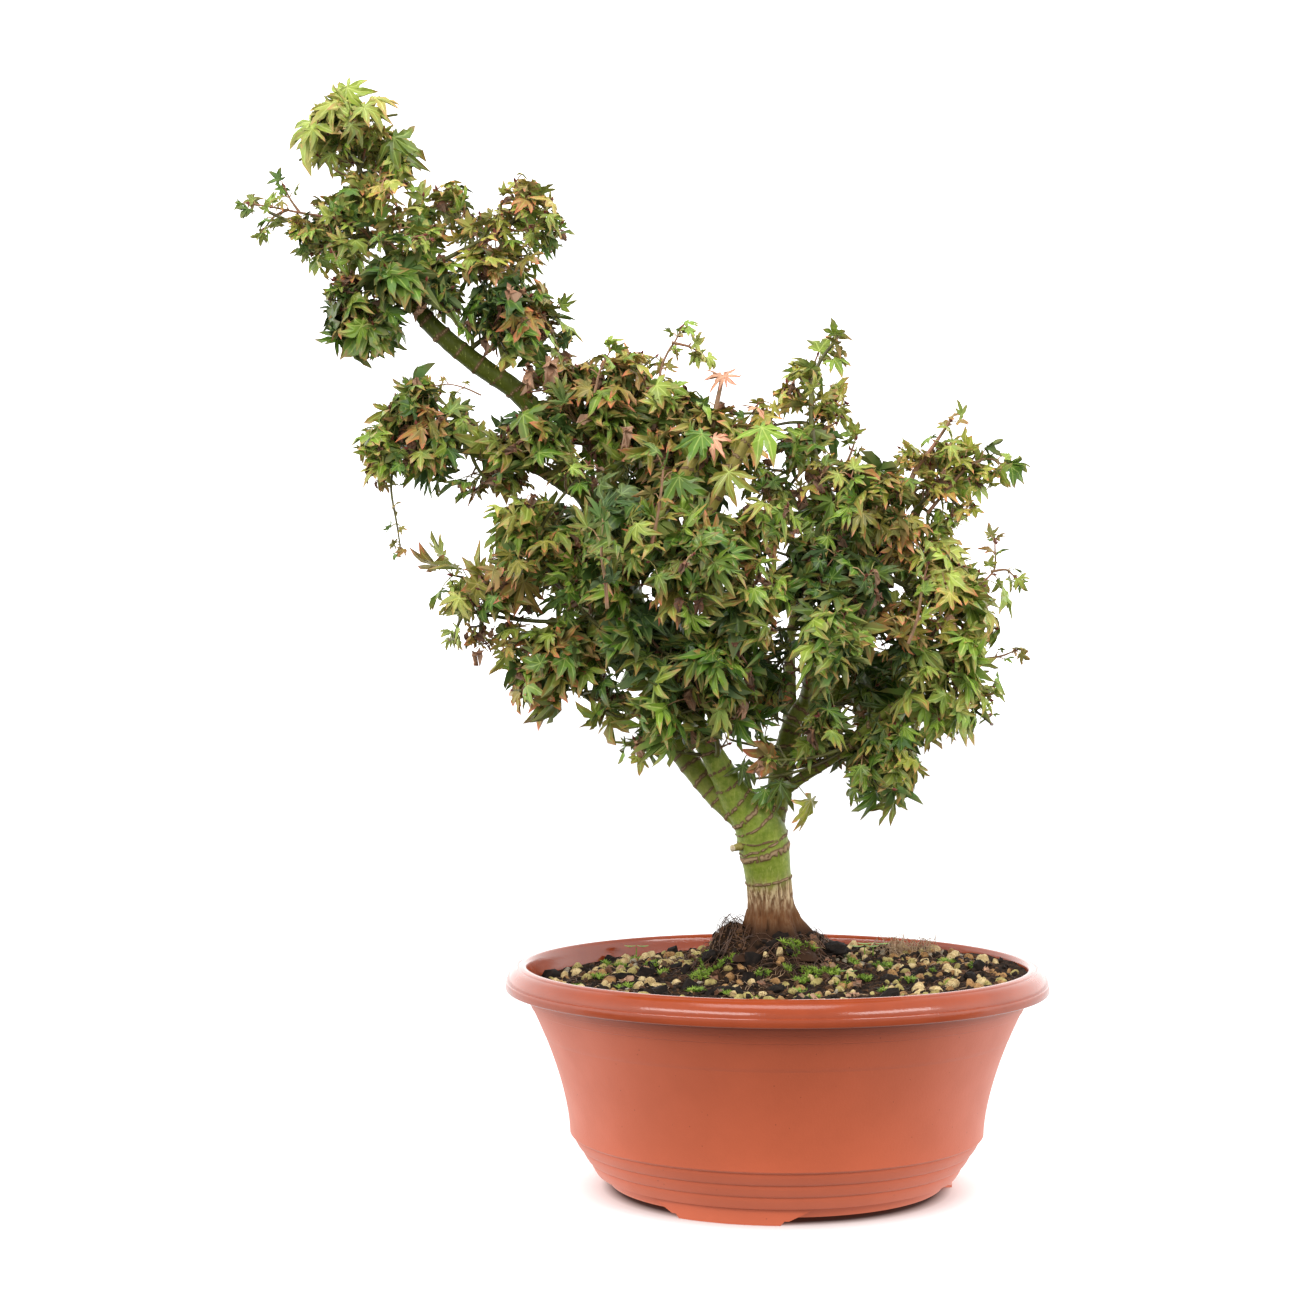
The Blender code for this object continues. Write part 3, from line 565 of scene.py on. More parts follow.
# Gravel and lumps: pale porous gravel, grey-brown bits and black clods that lie loose on the
# soil. Every stone is a small round shape, squashed and knocked out of round by its own place.
STONE_REACH = 131 * MM
STONE_SQUASH = ((0.85, 0.65, 0.5), (1.15, 1.0, 0.8))
STONE_KNOCKS = 260.0
SOIL_CELL = 5 * MM
SCATTER_INPUTS = [
    ("Per Square Metre", "Float"), ("Seed", "Int"), ("Smallest", "Float"), ("Largest", "Float"),
    ("Finish", "Material")]
TRUNK_CLEAR = 24 * MM
CRUMBS_CLEAR = 13 * MM
BARE_SOIL = ((-16, -61, 28, 10), (-32, 6, 15, 10), (24, 8, 8, 8))
GRAVEL = ("gravel_pale", "gravel_straw", "gravel_olive", "gravel_grey")
LUMPS = [
    (32.5, 2, 8, 4.6), (-36, -2, 5, 3.4), (-2, -62, 5, 3), (-30, -60, 5.5, 3.2), (60, -34, 5, 3)]
STONES = {
    # stones per square metre, seed, smallest and largest size, how knocked, faces, two tints
    "gravel_pale": (2700.0, 3, 1.8, 4.8, 1.0, 2, ((0.62, 0.485, 0.25), (0.40, 0.275, 0.12))),
    "gravel_straw": (2800.0, 8, 1.5, 4.1, 1.2, 2, ((0.40, 0.225, 0.088), (0.22, 0.115, 0.045))),
    "gravel_olive": (2300.0, 15, 1.6, 4.3, 1.2, 2, ((0.43, 0.355, 0.13), (0.24, 0.185, 0.062))),
    "gravel_grey": (1300.0, 12, 1.6, 3.2, 1.2, 2, ((0.36, 0.31, 0.23), (0.20, 0.16, 0.11))),
    "soil_crumbs": (15000.0, 21, 1.2, 3.0, 1.6, 1, ((0.028, 0.016, 0.009), (0.010, 0.006, 0.004))),
    "soil_clods": (1000.0, 34, 3.2, 6.8, 2.8, 2, ((0.016, 0.010, 0.007), (0.006, 0.004, 0.003))),
    "bark_bits": (6500.0, 47, 1.1, 2.8, 1.7, 1, ((0.13, 0.064, 0.030), (0.055, 0.026, 0.013))),
}


def making_tree(name, inputs):
    """Empty geometry nodes group that takes and gives a geometry, with named inputs."""
    tree = bpy.data.node_groups.new(name, "GeometryNodeTree")
    tree.interface.new_socket(name="Start", in_out="INPUT", socket_type="NodeSocketGeometry")
    for label, kind in inputs:
        tree.interface.new_socket(name=label, in_out="INPUT", socket_type="NodeSocket" + kind)
    tree.interface.new_socket(name="Made", in_out="OUTPUT", socket_type="NodeSocketGeometry")
    return tree, tree.nodes.new("NodeGroupInput"), tree.nodes.new("NodeGroupOutput")


def made_by(tree, start, values):
    """Plain mesh that a geometry nodes tree makes from a starting mesh."""
    holder = new_object("holder", start)
    step = holder.modifiers.new("making", "NODES")
    step.node_group = tree
    for socket in tree.interface.items_tree:
        if socket.item_type == "SOCKET" and socket.name in values:
            step[socket.identifier] = values[socket.name]
    result = bpy.data.meshes.new_from_object(
        holder.evaluated_get(bpy.context.evaluated_depsgraph_get()))
    holder.modifiers.remove(step)
    bpy.data.objects.remove(holder, do_unlink=True)
    return result


def scattered(tree, start, instance, spacing, turns, turn_seed, squash=None):
    """Instances on random spots of the starting mesh, each with a turn and size of its own."""
    spots = node(tree, "GeometryNodeDistributePointsOnFaces", {
        "Mesh": start.outputs["Start"], "Distance Min": spacing,
        "Density Max": start.outputs["Per Square Metre"], "Seed": start.outputs["Seed"]},
        distribute_method="POISSON")
    turn = node(tree, "FunctionNodeRandomValue", {0: turns[0], 1: turns[1], "Seed": turn_seed},
                data_type="FLOAT_VECTOR")
    scale = node(tree, "FunctionNodeRandomValue", {
        2: start.outputs["Smallest"], 3: start.outputs["Largest"], "Seed": 5},
        data_type="FLOAT").outputs[1]
    if squash:
        shares = node(tree, "FunctionNodeRandomValue", {0: squash[0], 1: squash[1], "Seed": 9},
                      data_type="FLOAT_VECTOR")
        scale = node(tree, "ShaderNodeVectorMath", {0: shares.outputs[0], "Scale": scale},
                     operation="SCALE").outputs["Vector"]
    rotation = node(tree, "FunctionNodeEulerToRotation", {"Euler": turn.outputs[0]})
    return node(tree, "GeometryNodeInstanceOnPoints", {
        "Points": spots.outputs["Points"], "Instance": instance,
        "Rotation": rotation.outputs[0], "Scale": scale}).outputs[0]


def knocked(tree, geometry, waves_per_metre, amount):
    """Geometry made real, with its points moved by waves in space."""
    loose = node(tree, "GeometryNodeRealizeInstances", {"Geometry": geometry})
    waves = node(tree, "ShaderNodeTexNoise", {
        "Vector": node(tree, "GeometryNodeInputPosition").outputs[0], "Scale": waves_per_metre,
        "Detail": 1.0})
    centred = node(tree, "ShaderNodeVectorMath", {
        0: waves.outputs["Color"], 1: (0.5, 0.5, 0.5)}, operation="SUBTRACT")
    offset = node(tree, "ShaderNodeVectorMath", {
        0: centred.outputs["Vector"], "Scale": amount}, operation="SCALE")
    return node(tree, "GeometryNodeSetPosition", {
        "Geometry": loose.outputs[0], "Offset": offset.outputs["Vector"]}).outputs[0]


def finished(tree, start, end, geometry):
    """Ends a tree with real geometry in the finish that it is given."""
    loose = node(tree, "GeometryNodeRealizeInstances", {"Geometry": geometry})
    coloured = node(tree, "GeometryNodeSetMaterial", {
        "Geometry": loose.outputs[0], "Material": start.outputs["Finish"]})
    tree.links.new(coloured.outputs[0], end.inputs["Made"])
    return tree


def stone_tree():
    tree, start, end = making_tree("stones_on_soil", SCATTER_INPUTS + [
        ("Least Spacing", "Float"), ("Out Of Round", "Float"), ("Fineness", "Int")])
    ball = node(tree, "GeometryNodeMeshIcoSphere", {
        "Radius": 1.0, "Subdivisions": start.outputs["Fineness"]})
    stones = scattered(
        tree, start, ball.outputs["Mesh"], start.outputs["Least Spacing"],
        ((0.0,) * 3, (tau,) * 3), start.outputs["Seed"], STONE_SQUASH)
    stones = knocked(tree, stones, STONE_KNOCKS, start.outputs["Out Of Round"])
    smooth = node(tree, "GeometryNodeSetShadeSmooth", {"Geometry": stones})
    return finished(tree, start, end, smooth.outputs[0])


def soil_patch(holds, spacing=SOIL_CELL):
    """Plain mesh of square cells on the soil's surface, kept where a test holds."""
    shape, corners = bmesh.new(), {}

    def corner(column, row):
        if (column, row) not in corners:
            x, y = column * spacing, row * spacing
            corners[column, row] = shape.verts.new((x, y, crumbly_height(x, y)))
        return corners[column, row]

    count = int(STONE_REACH / spacing) + 1
    for column in range(-count, count):
        for row in range(-count, count):
            middle = Vector(((column + 0.5) * spacing, (row + 0.5) * spacing))
            if holds(middle):
                shape.faces.new((
                    corner(column, row), corner(column + 1, row),
                    corner(column + 1, row + 1), corner(column, row + 1)))
    return to_mesh("patch", shape)


def stone_finish(name, tints):
    pit_tint = tuple(0.5 * part for part in tints[1])
    return mottled_finish(name, tints, 340.0, 0.16, 0.85, 0.2, (0.5, 0.5 * MM),
                          (pit_tint, 900.0, 0.5))


def on_bare_soil(spot):
    ragged = 1.0 + 0.5 * noise(Vector((*spot, 0.6)) * 90.0)
    return any(
        Vector(((spot.x / MM - x) / across, (spot.y / MM - y) / deep)).length < ragged
        for x, y, across, deep in BARE_SOIL)


stones_on_soil = stone_tree()
for name, (density, seed, smallest, largest, knock, fineness, tints) in STONES.items():
    open_soil = soil_patch(
        lambda spot: spot.length < STONE_REACH
        and (spot - TRUNK_FOOT).length > (TRUNK_CLEAR if name in GRAVEL else CRUMBS_CLEAR)
        and not (name in GRAVEL and on_bare_soil(spot)))
    stones = made_by(stones_on_soil, open_soil, {
        "Per Square Metre": density, "Least Spacing": 1.3 * smallest * MM, "Seed": seed,
        "Smallest": smallest * MM, "Largest": largest * MM, "Out Of Round": 2.2 * knock * MM,
        "Fineness": fineness, "Finish": stone_finish(name, tints)})
    settle(name, stones, [], smooth_below=40.0)

lumps = bmesh.new()
for x, y, half_width, half_height in LUMPS:
    made_now = bmesh.ops.create_icosphere(lumps, subdivisions=4, radius=1.0)["verts"]
    level = crumbly_height(x * MM, y * MM)
    for corner in made_now:
        knock = 1.0 + 0.34 * noise(corner.co * 1.6 + Vector((x, y, 0.0)))
        knock += 0.16 * noise(corner.co * 5.0)
        corner.co = Vector((x + corner.co.x * half_width * knock,
                            y + corner.co.y * half_width * knock,
                            level / MM + corner.co.z * half_height * knock + 1.0)) * MM
settle("soil_lumps", to_mesh("soil_lumps", lumps), [], 50.0,
       stone_finish("soil_lumps", STONES["soil_clods"][-1]))

# Moss and seedlings: cushions of bright green moss on the heap and in the gravel, made of short
# pointed sprigs, and a few seedlings with two round leaves on a thin stalk.
MOSS_PATCHES = [
    (9, -15, 5.5), (-29, -13, 5), (-39, 0, 3.5), (19, -9, 3), (-67, 60, 6), (41, 4, 6),
    (13, -40, 4.5), (4, -30, 3), (98, 34, 4), (-93, 60, 5), (-46, -50, 4), (-41, -16, 6),
    (18, -31, 5), (-78, 92, 4), (30, 44, 6), (-40, 60, 5), (70, -40, 4), (-10, 84, 6), (86, -8, 3),
    (-84, -30, 4), (-8, -34, 3.5), (30, -24, 4.5), (-62, 20, 4), (-100, 10, 4), (48, -30, 4),
    (-30, -70, 4), (8, -66, 4), (52, -72, 3), (-70, -62, 3), (14, -92, 3), (-16, -98, 3),
    (90, -60, 3), (60, 14, 5), (-110, -20, 3), (110, 4, 3), (34, -56, 4)]
MOSS_SPRIG_LEAVES = 7
MOSS_CELL = 2.5 * MM
SPRIG_SPACING = 0.9 * MM
SPRIGS_PER_SQUARE_METRE = 260000.0
SPRIG_LEAN = 0.45
SEEDLINGS = [(60, 66, 9), (54, 54, 8), (-78, 100, 7), (36, -46, 5)]
SEEDLING_HEIGHT = 7 * MM


def moss_sprig():
    """One sprig: a whorl of short pointed leaves that stand up and out."""
    shape = bmesh.new()
    for index in range(MOSS_SPRIG_LEAVES):
        angle = tau * index / MOSS_SPRIG_LEAVES
        lean = 0.35 + 0.3 * (index % 3)
        out = Vector((cos(angle), sin(angle), 0.0))
        across = Vector((-out.y, out.x, 0.0)) * 0.13
        middle = out * 0.35 * lean + UP * 0.45
        corners = [shape.verts.new(place) for place in (
            Vector((0.0, 0.0, 0.0)), middle + across, middle - across,
            middle - out * 0.10, out * lean * 1.2 + UP * (1.05 - 0.4 * lean))]
        for face in ((0, 1, 2), (0, 3, 1), (0, 2, 3), (1, 4, 2), (1, 3, 4), (3, 2, 4)):
            shape.faces.new([corners[corner] for corner in face])
    bmesh.ops.recalc_face_normals(shape, faces=shape.faces)
    return shape


def sprig_tree():
    tree, start, end = making_tree("sprigs_on_soil", SCATTER_INPUTS + [("Sprig", "Object")])
    sprig = node(tree, "GeometryNodeObjectInfo", {"Object": start.outputs["Sprig"]})
    return finished(tree, start, end, scattered(
        tree, start, sprig.outputs["Geometry"], SPRIG_SPACING,
        ((-SPRIG_LEAN, -SPRIG_LEAN, 0.0), (SPRIG_LEAN, SPRIG_LEAN, tau)), 0))


def in_moss(spot):
    ragged = 1.0 + 0.6 * noise(Vector((*spot, 0.3)) * 180.0)
    return (spot - TRUNK_FOOT).length > TRUNK_CLEAR and any(
        (spot - Vector((x, y)) * MM).length < radius * MM * ragged
        for x, y, radius in MOSS_PATCHES)


def add_seedling(shape, x, y, size):
    """Two round seed leaves, each a shallow dish with a closed underside, on one stalk."""
    foot = Vector((x * MM, y * MM, soil_height(x * MM, y * MM)))
    stalk = bmesh.ops.create_cone(
        shape, cap_ends=True, segments=6, radius1=0.5 * MM, radius2=0.35 * MM,
        depth=SEEDLING_HEIGHT)
    bmesh.ops.translate(shape, verts=stalk["verts"], vec=foot + UP * 0.5 * SEEDLING_HEIGHT)
    for sense in (1.0, -1.0):
        centre = foot + Vector((sense * 0.55 * size * MM, 0.0, SEEDLING_HEIGHT + 0.6 * MM))
        rim = [shape.verts.new(centre + MM * Vector((
            0.52 * size * cos(angle), 0.36 * size * sin(angle),
            0.7 * abs(cos(angle))))) for angle in np.linspace(0.0, tau, 10, False)]
        for lift in (0.15, -0.45):
            loft(shape, [rim, [shape.verts.new(centre + UP * lift * MM)]])


sprig_holder = new_object("sprig", to_mesh("sprig", moss_sprig()))
moss_green = mottled_finish("moss_green", ((0.26, 0.38, 0.035), (0.09, 0.17, 0.012)), 120.0, 0.2,
                            0.7, 0.5, (0.2, 0.3 * MM))
moss = made_by(sprig_tree(), soil_patch(in_moss, MOSS_CELL), {
    "Per Square Metre": SPRIGS_PER_SQUARE_METRE, "Seed": 2, "Sprig": sprig_holder,
    "Smallest": 2 * MM, "Largest": 4.2 * MM, "Finish": moss_green})
bpy.data.objects.remove(sprig_holder, do_unlink=True)
settle("moss", moss, [])

seedlings = bmesh.new()
for seedling_place in SEEDLINGS:
    add_seedling(seedlings, *seedling_place)
bmesh.ops.recalc_face_normals(seedlings, faces=seedlings.faces)
settle("seedlings", to_mesh("seedlings", seedlings), [], 60.0, moss_green)

# Trunk and leader: one stem that leans to the left, beige and fissured at its foot and smooth
# and green above it. A rough brown ring is left wherever a pair of leaves once stood, its foot
# widens into the roots, and it swells where a bough leaves it.
TRUNK_LINE = [
    (-0.5, 12, 130.3, 14.6), (-2.2, 10, 154, 12.6), (-4, 8, 171, 12.7), (-6.3, 6, 186.2, 13.8),
    (-10.8, 3, 200.9, 12.6), (-22.3, 0, 216.1, 8.8), (-34.5, -4, 237.4, 6.6), (-42.3, -6, 250.7, 6),
    (-60, -6, 286.7, 5.8), (-82.1, 2, 330, 5.7), (-99.5, 8, 372, 5.6), (-128.4, 6, 419.3, 5.6),
    (-143.5, 3, 440, 5.6), (-169, -1, 457.8, 5.5), (-194, -3, 480, 4.8), (-209.5, -3, 507.1, 3.6),
    (-220.7, -2, 537.7, 2.6)]
TRUNK_PARTS = {"trunk": (0, 4), "leader_lower": (4, 10), "leader_upper": (10, 16)}
BOUGHS = {
    # limbs that bear it, and its line as (x, y, z, radius)
    "bough_low_left": (("leader_lower", "trunk"), [
        (-15, 2, 200, 6.2), (-31.6, 6, 214.4, 6.3), (-47.2, 10, 232.6, 6.4), (-62.2, 14, 252, 5.7),
        (-83, 12, 266.8, 4), (-107, 8, 272, 2.5)]),
    "bough_left": (("leader_upper",), [
        (-107, 8, 384, 3.9), (-118, 0, 388.5, 3.7), (-131.7, -8, 396.5, 3.4),
        (-152.4, -12, 402.2, 2.9), (-168, -14, 405, 2.4)]),
    "bough_right": (("trunk", "leader_lower"), [
        (-5.3, 4, 189.7, 6.6), (0.4, 6, 210.2, 6.5), (4.5, 8, 234.1, 6.6), (11.3, 12, 256.3, 5.8),
        (25.3, 12, 278.7, 5), (40.8, 10, 305, 4.7)]),
    "bough_right_upper": (("bough_right",), [
        (40.8, 10, 305, 4.7), (44.4, 6, 324.5, 4.4), (41.3, 2, 355, 3.6), (30, 0, 379.9, 3),
        (22.7, -2, 400.8, 2.4)]),
    "bough_low_right": (("bough_right",), [
        (1.6, 6, 215.8, 3.4), (13.2, -2, 225.1, 3), (33, -12, 238.8, 2.8), (49.3, -20, 253.9, 2.7),
        (63.7, -24, 266.6, 2.3)]),
    "bough_far_right": (("bough_right_upper", "bough_right"), [
        (41.9, 9, 310.6, 3.2), (58.3, 6, 338.4, 2.9), (71.9, 2, 363.3, 2.5), (80, 0, 376, 2.2)]),
    "bough_centre": (("leader_lower",), [
        (-55.5, -5, 277.2, 3.6), (-58, -30, 310.2, 3.2), (-54.8, -42, 342.3, 2.7),
        (-48.5, -44, 371.6, 2.2)]),
    "bough_front_right": (("bough_right",), [
        (16.9, 12, 265.8, 3.4), (18.3, -15, 286, 3), (22, -36, 305, 2.4)]),
    "bough_back_right": (("bough_right",), [
        (8.3, 9, 246.3, 4.2), (10.1, 40, 273.7, 3.6), (11.8, 62, 304, 3), (18.3, 72, 330, 2.4)]),
    "bough_back_left": (("leader_lower",), [
        (-75.5, 0, 317.7, 3.6), (-80.2, 30, 344, 3.2), (-80, 50, 370, 2.5)]),
}
COARSE_SPANS = 2
TRUNK_SPANS = 26
TRUNK_SIDES = 84
FOOT_BURIED = 3.4 * MM
FLARE = 1.55
FLARE_HEIGHT = 8 * MM
FLARE_LOBES = 6
FLARE_LOBE_SHARE = 0.38
FLARE_TURN = -1.57
FLARE_UNEVEN = 0.30
OLD_BARK_TOP = 168 * MM
OLD_BARK_RAGGED = 3 * MM
COLLAR_SWELL = 1.5 * MM
COLLAR_WIDTH = 4 * MM
FIBROUS_TOP = 158 * MM
FIBROUS_FADE = 14 * MM
FIBROUS_DEPTH = 2 * MM
TRUNK_RINGS = [
    # run along the stem, width, strength, tilt
    (42, 0.7, 1, 0.06), (58, 1.9, 1, 0.18), (63, 0.7, 0.9, 0.34), (66.5, 0.6, 0.6, -0.1),
    (75.5, 0.7, 0.8, 0.24), (83, 1.2, 1, 0.2), (91.5, 0.8, 0.9, 0.3), (102, 0.7, 0.7, 0.04)]
LEADER_RING_SPACING = (11.0, 15.0)
UPPER_RING_SPACING = (10.5, 13.5)
LEADER_FROM = 113.0
UPPER_FROM = 330.0
UPPER_END = 640.0
BARK_SHINE = 0.18
# Heights over which the bark turns to its tint high up: painted shade under the crown
SHADED_WOOD = (270 * MM, 400 * MM)
FOOT_BROWNS = (
    # heights from which and down to which the bark turns brown, by what share, and the brown
    (161.0, 149.0, 0.90, (0.135, 0.052, 0.018)), (149.0, 138.0, 0.94, (0.030, 0.013, 0.006)))
# Shares of scar from which and up to which a ring turns brown, and the brown
SCAR_BROWNS = ((0.10, 0.45, (0.130, 0.075, 0.034)), (0.55, 0.95, (0.340, 0.235, 0.130)))
wood_rng = random.Random(7)


def smooth_line(points, spans):
    """Smooth curve through (x, y, z, radius) points in millimetres, as metre stations."""
    points = [Vector(point) * MM for point in points]
    points = [2.0 * points[0] - points[1]] + points + [2.0 * points[-1] - points[-2]]
    stations = []
    for index in range(1, len(points) - 2):
        before, start, end, after = points[index - 1:index + 3]
        for step in range(spans):
            t = step / spans
            stations.append(0.5 * (
                2.0 * start + (end - before) * t
                + (2.0 * before - 5.0 * start + 4.0 * end - after) * t * t
                + (3.0 * start - before - 3.0 * end + after) * t ** 3))
    stations.append(points[-2])
    return with_tangents(stations)


def with_tangents(stations):
    """Adds a direction to each (x, y, z, radius) station."""
    return [
        (station.xyz, (after.xyz - before.xyz).normalized(), station.w)
        for before, station, after in zip(
            stations[:1] + stations, stations, stations[1:] + stations[-1:])]


def round_limb(angle, width, height):
    """Place for noise round a limb, so that the noise meets itself after a whole turn."""
    return Vector((width * cos(angle), width * sin(angle), height))


def root_flare(height, angle):
    """Widens the foot of the trunk into rounded roots that die away upwards."""
    fade = exp(-(height - TRUNK_LINE[0][2] * MM) / FLARE_HEIGHT)
    lobe = FLARE_LOBE_SHARE * sin(FLARE_LOBES * angle + FLARE_TURN)
    lobe += FLARE_UNEVEN * noise(round_limb(angle, 2.2, 7.3))
    return 1.0 + FLARE * fade * (1.0 - FLARE_LOBE_SHARE + lobe)


def square_to(direction, axis):
    """Part of a direction that is at right angles to an axis, as a unit vector."""
    return (direction - axis * direction.dot(axis)).normalized()


def ring_scars(rings, run, outward, angle):
    """Height in metres and share of scar at a place on the bark, from its ragged rings."""
    height = scar = 0.0
    for place, width, strength, tilt in rings:
        middle = place + 10.0 * tilt * outward.x + 1.1 * noise(round_limb(angle, 2.0, place))
        away = (run / MM - middle) / width
        if abs(away) < 3.0:
            torn = 0.5 + noise(round_limb(angle, 9.0, run * 400.0))
            share = strength * exp(-away * away) * max(0.05, min(1.0, 1.6 * torn + 0.1))
            height = max(height, 0.95 * MM * share)
            scar = max(scar, share)
    return height, min(1.0, 1.35 * scar)


def old_bark_cracks(point, angle):
    """Depth in metres and share of crack of the fissured bark at the foot, and how old it is."""
    ragged = OLD_BARK_RAGGED * (noise(round_limb(angle, 4.0, 0.5))
                                + 0.4 * noise(round_limb(angle, 16.0, 3.5)))
    old = 1.0 / (1.0 + exp((point.z - OLD_BARK_TOP - ragged) / (1.8 * MM)))
    across = round_limb(angle, 13.0, point.z * 52.0)
    split = abs(noise(across) + 0.35 * noise(across * 2.3))
    crack = max(0.0, 1.0 - split / 0.15)
    return crack * old, old


def skin(stations, sides, relief):
    """Closed bark skin along stations; relief gives each place its height, scar, crack, age."""
    places, faces, marks = [], [], []
    side, run = Vector((0.0, -1.0, 0.0)), 0.0
    for index, (point, direction, radius) in enumerate(stations):
        if index:
            run += (point - stations[index - 1][0]).length
        side = square_to(side, direction)
        other = direction.cross(side)
        for corner in range(sides):
            angle = tau * corner / sides
            outward = side * cos(angle) + other * sin(angle)
            height, *mark = relief(point, outward, run, angle, radius)
            places.append(point + outward * (radius + height))
            marks.append(mark)
    for row in range(0, sides * (len(stations) - 1), sides):
        for corner in range(sides):
            low, after = row + corner, row + (corner + 1) % sides
            faces.append((low, after, after + sides, low + sides))
    for row, lift in ((0, -0.15), (len(stations) - 1, 0.35)):
        for corner in range(sides):
            pair = (row * sides + corner, row * sides + (corner + 1) % sides)
            faces.append((*(reversed(pair) if row == 0 else pair), len(places)))
        point, direction, radius = stations[row]
        places.append(point + direction * radius * lift)
        marks.append(marks[row * sides])
    return places, faces, marks


def plain_mesh(name, places, edges, faces, values=()):
    """Mesh from lists, with named values on its points, each given by its kind and numbers."""
    mesh = bpy.data.meshes.new(name)
    mesh.from_pydata(places, edges, faces)
    for key, kind, numbers in values:
        field = "vector" if kind == "FLOAT_VECTOR" else "value"
        mesh.attributes.new(key, kind, "POINT").data.foreach_set(field, numbers)
    mesh.update()
    return mesh


def skins_to_mesh(name, skins):
    """One mesh of several skins, with the scar, crack and age of each point."""
    places, faces, marks = [], [], []
    for one_places, one_faces, one_marks in skins:
        faces += [tuple(len(places) + corner for corner in face) for face in one_faces]
        places += one_places
        marks += one_marks
    return plain_mesh(name, places, [], faces, [
        (key, "FLOAT", numbers) for key, numbers in zip(("scar", "crack", "old"), zip(*marks))])


def ring_places(start, end, spacing):
    """Ring scars from one run along a limb to another, each a little uneven."""
    rings, place = [], start
    while place < end:
        rings.append((place, wood_rng.uniform(0.6, 1.1), wood_rng.uniform(0.55, 1.0),
                      wood_rng.uniform(-0.16, 0.16)))
        place += wood_rng.uniform(*spacing)
    return rings


def collar(place, starts):
    """Swelling of a limb's bark round the places where boughs leave it."""
    return sum(
        COLLAR_SWELL * exp(-((place - start).length / (radius + COLLAR_WIDTH)) ** 2)
        for start, radius in starts)


def bough_starts(bearers, surface):
    """Where boughs break out of the bark of the limbs that bear them, and how thick they are."""
    starts = []
    for bough_bearers, points in BOUGHS.values():
        if set(bough_bearers) & set(bearers):
            first, second = Vector(points[0]) * MM, Vector(points[1]) * MM
            outward = (second.xyz - first.xyz).normalized()
            starts.append((first.xyz + outward * surface, first.w))
    return starts


def point_values(tree, *names):
    """Sockets of values that are named on the mesh."""
    return [node(tree, "ShaderNodeAttribute", attribute_name=name).outputs["Fac"]
            for name in names]


def living_bark(name, green, dark, yellow, high):
    """Smooth green bark with brown rings, darkened high up by painted shade under the crown; old
    bark is beige, and brown deep in its cracks.
    """
    made, tree, shader = plain_material(name, green, 0.5, BARK_SHINE)
    fresh = mottled(tree, green, dark, 90.0, 0.24)["Colour"]
    streak = mottled(tree, yellow, dark, 340.0)["Colour"]
    colour = blend_colours(tree, 0.32, fresh, streak)
    # Painted shade: the bark darkens high up, under the crown
    colour = blend_colours(tree, height_share(tree, *SHADED_WOOD), colour, high)
    beige = mottled(tree, (0.62, 0.48, 0.29), (0.46, 0.32, 0.18), 300.0)["Colour"]
    age, crack, scar = point_values(tree, "old", "crack", "scar")
    lengthwise = node(tree, "ShaderNodeMapping", {
        "Vector": object_place(tree), "Scale": (1.0, 1.0, 0.16)})
    grooves = node(tree, "ShaderNodeTexNoise", {
        "Vector": lengthwise.outputs["Vector"], "Scale": 950.0, "Detail": 3.0,
        "Roughness": 0.65}).outputs["Fac"]
    pale_lines = remap(tree, grooves, 0.60, 0.68, 0.0, 0.55)
    colour = blend_colours(tree, pale_lines, colour, yellow)
    groove = remap(tree, grooves, 0.44, 0.56)
    colour = blend_colours(
        tree, age, colour, blend_colours(tree, groove, (0.22, 0.125, 0.062), beige))
    colour = blend_colours(tree, crack, colour, (0.10, 0.045, 0.018))
    for low, high_up, most, brown in FOOT_BROWNS:
        foot = maths(tree, "MULTIPLY", height_share(tree, low * MM, high_up * MM), most)
        colour = blend_colours(tree, foot, colour, brown)
    for from_scar, to_scar, brown in SCAR_BROWNS:
        torn = remap(tree, scar, from_scar, to_scar)
        colour = blend_colours(tree, torn, colour, brown)
    rough = remap(tree, maths(tree, "MAXIMUM", age, scar), 0.0, 1.0, 0.42, 0.85)
    dress(tree, shader, colour, rough, grooves, (0.45, 0.7 * MM))
    return made


trunk_line = smooth_line(TRUNK_LINE, TRUNK_SPANS)
foot_point, _, foot_radius = trunk_line[0]
trunk_line[0] = (foot_point, UP, foot_radius)
trunk_line.insert(0, (foot_point - UP * FOOT_BURIED, UP, 1.08 * foot_radius))
trunk_rings = TRUNK_RINGS + ring_places(LEADER_FROM, UPPER_FROM, LEADER_RING_SPACING)
trunk_rings += ring_places(UPPER_FROM, UPPER_END, UPPER_RING_SPACING)
trunk_collars = bough_starts(("trunk", "leader_lower"), 12 * MM)
trunk_collars += bough_starts(("leader_upper",), 5 * MM)


def trunk_relief(point, outward, run, angle, radius):
    height = radius * (root_flare(max(point.z, foot_point.z), angle) - 1.0)
    height += collar(point + outward * radius, trunk_collars)
    height += 0.30 * MM * noise((point + outward * radius) * 120.0)
    low = min(1.0, max(0.0, (FIBROUS_TOP - point.z) / FIBROUS_FADE))
    fibres = round_limb(angle, 7.0, point.z * 60.0)
    height += low * FIBROUS_DEPTH * (noise(fibres) + 0.5 * noise(2.3 * fibres))
    crack, old = old_bark_cracks(point, angle)
    ring_height, scar = ring_scars(trunk_rings, run, outward, angle)
    height += ring_height - 0.75 * MM * crack
    return height, scar * (1.0 - 0.3 * old), crack, old


# Its last tint is the painted shade high up, under the crown
green_bark = living_bark("green_bark", (0.235, 0.305, 0.030), (0.120, 0.180, 0.017),
                         (0.42, 0.44, 0.11), (0.080, 0.098, 0.011))
trunk_mesh = skins_to_mesh("trunk_bark", [skin(trunk_line, TRUNK_SIDES, trunk_relief)])
settle("trunk_bark", trunk_mesh, list(TRUNK_PARTS), 70.0, green_bark)

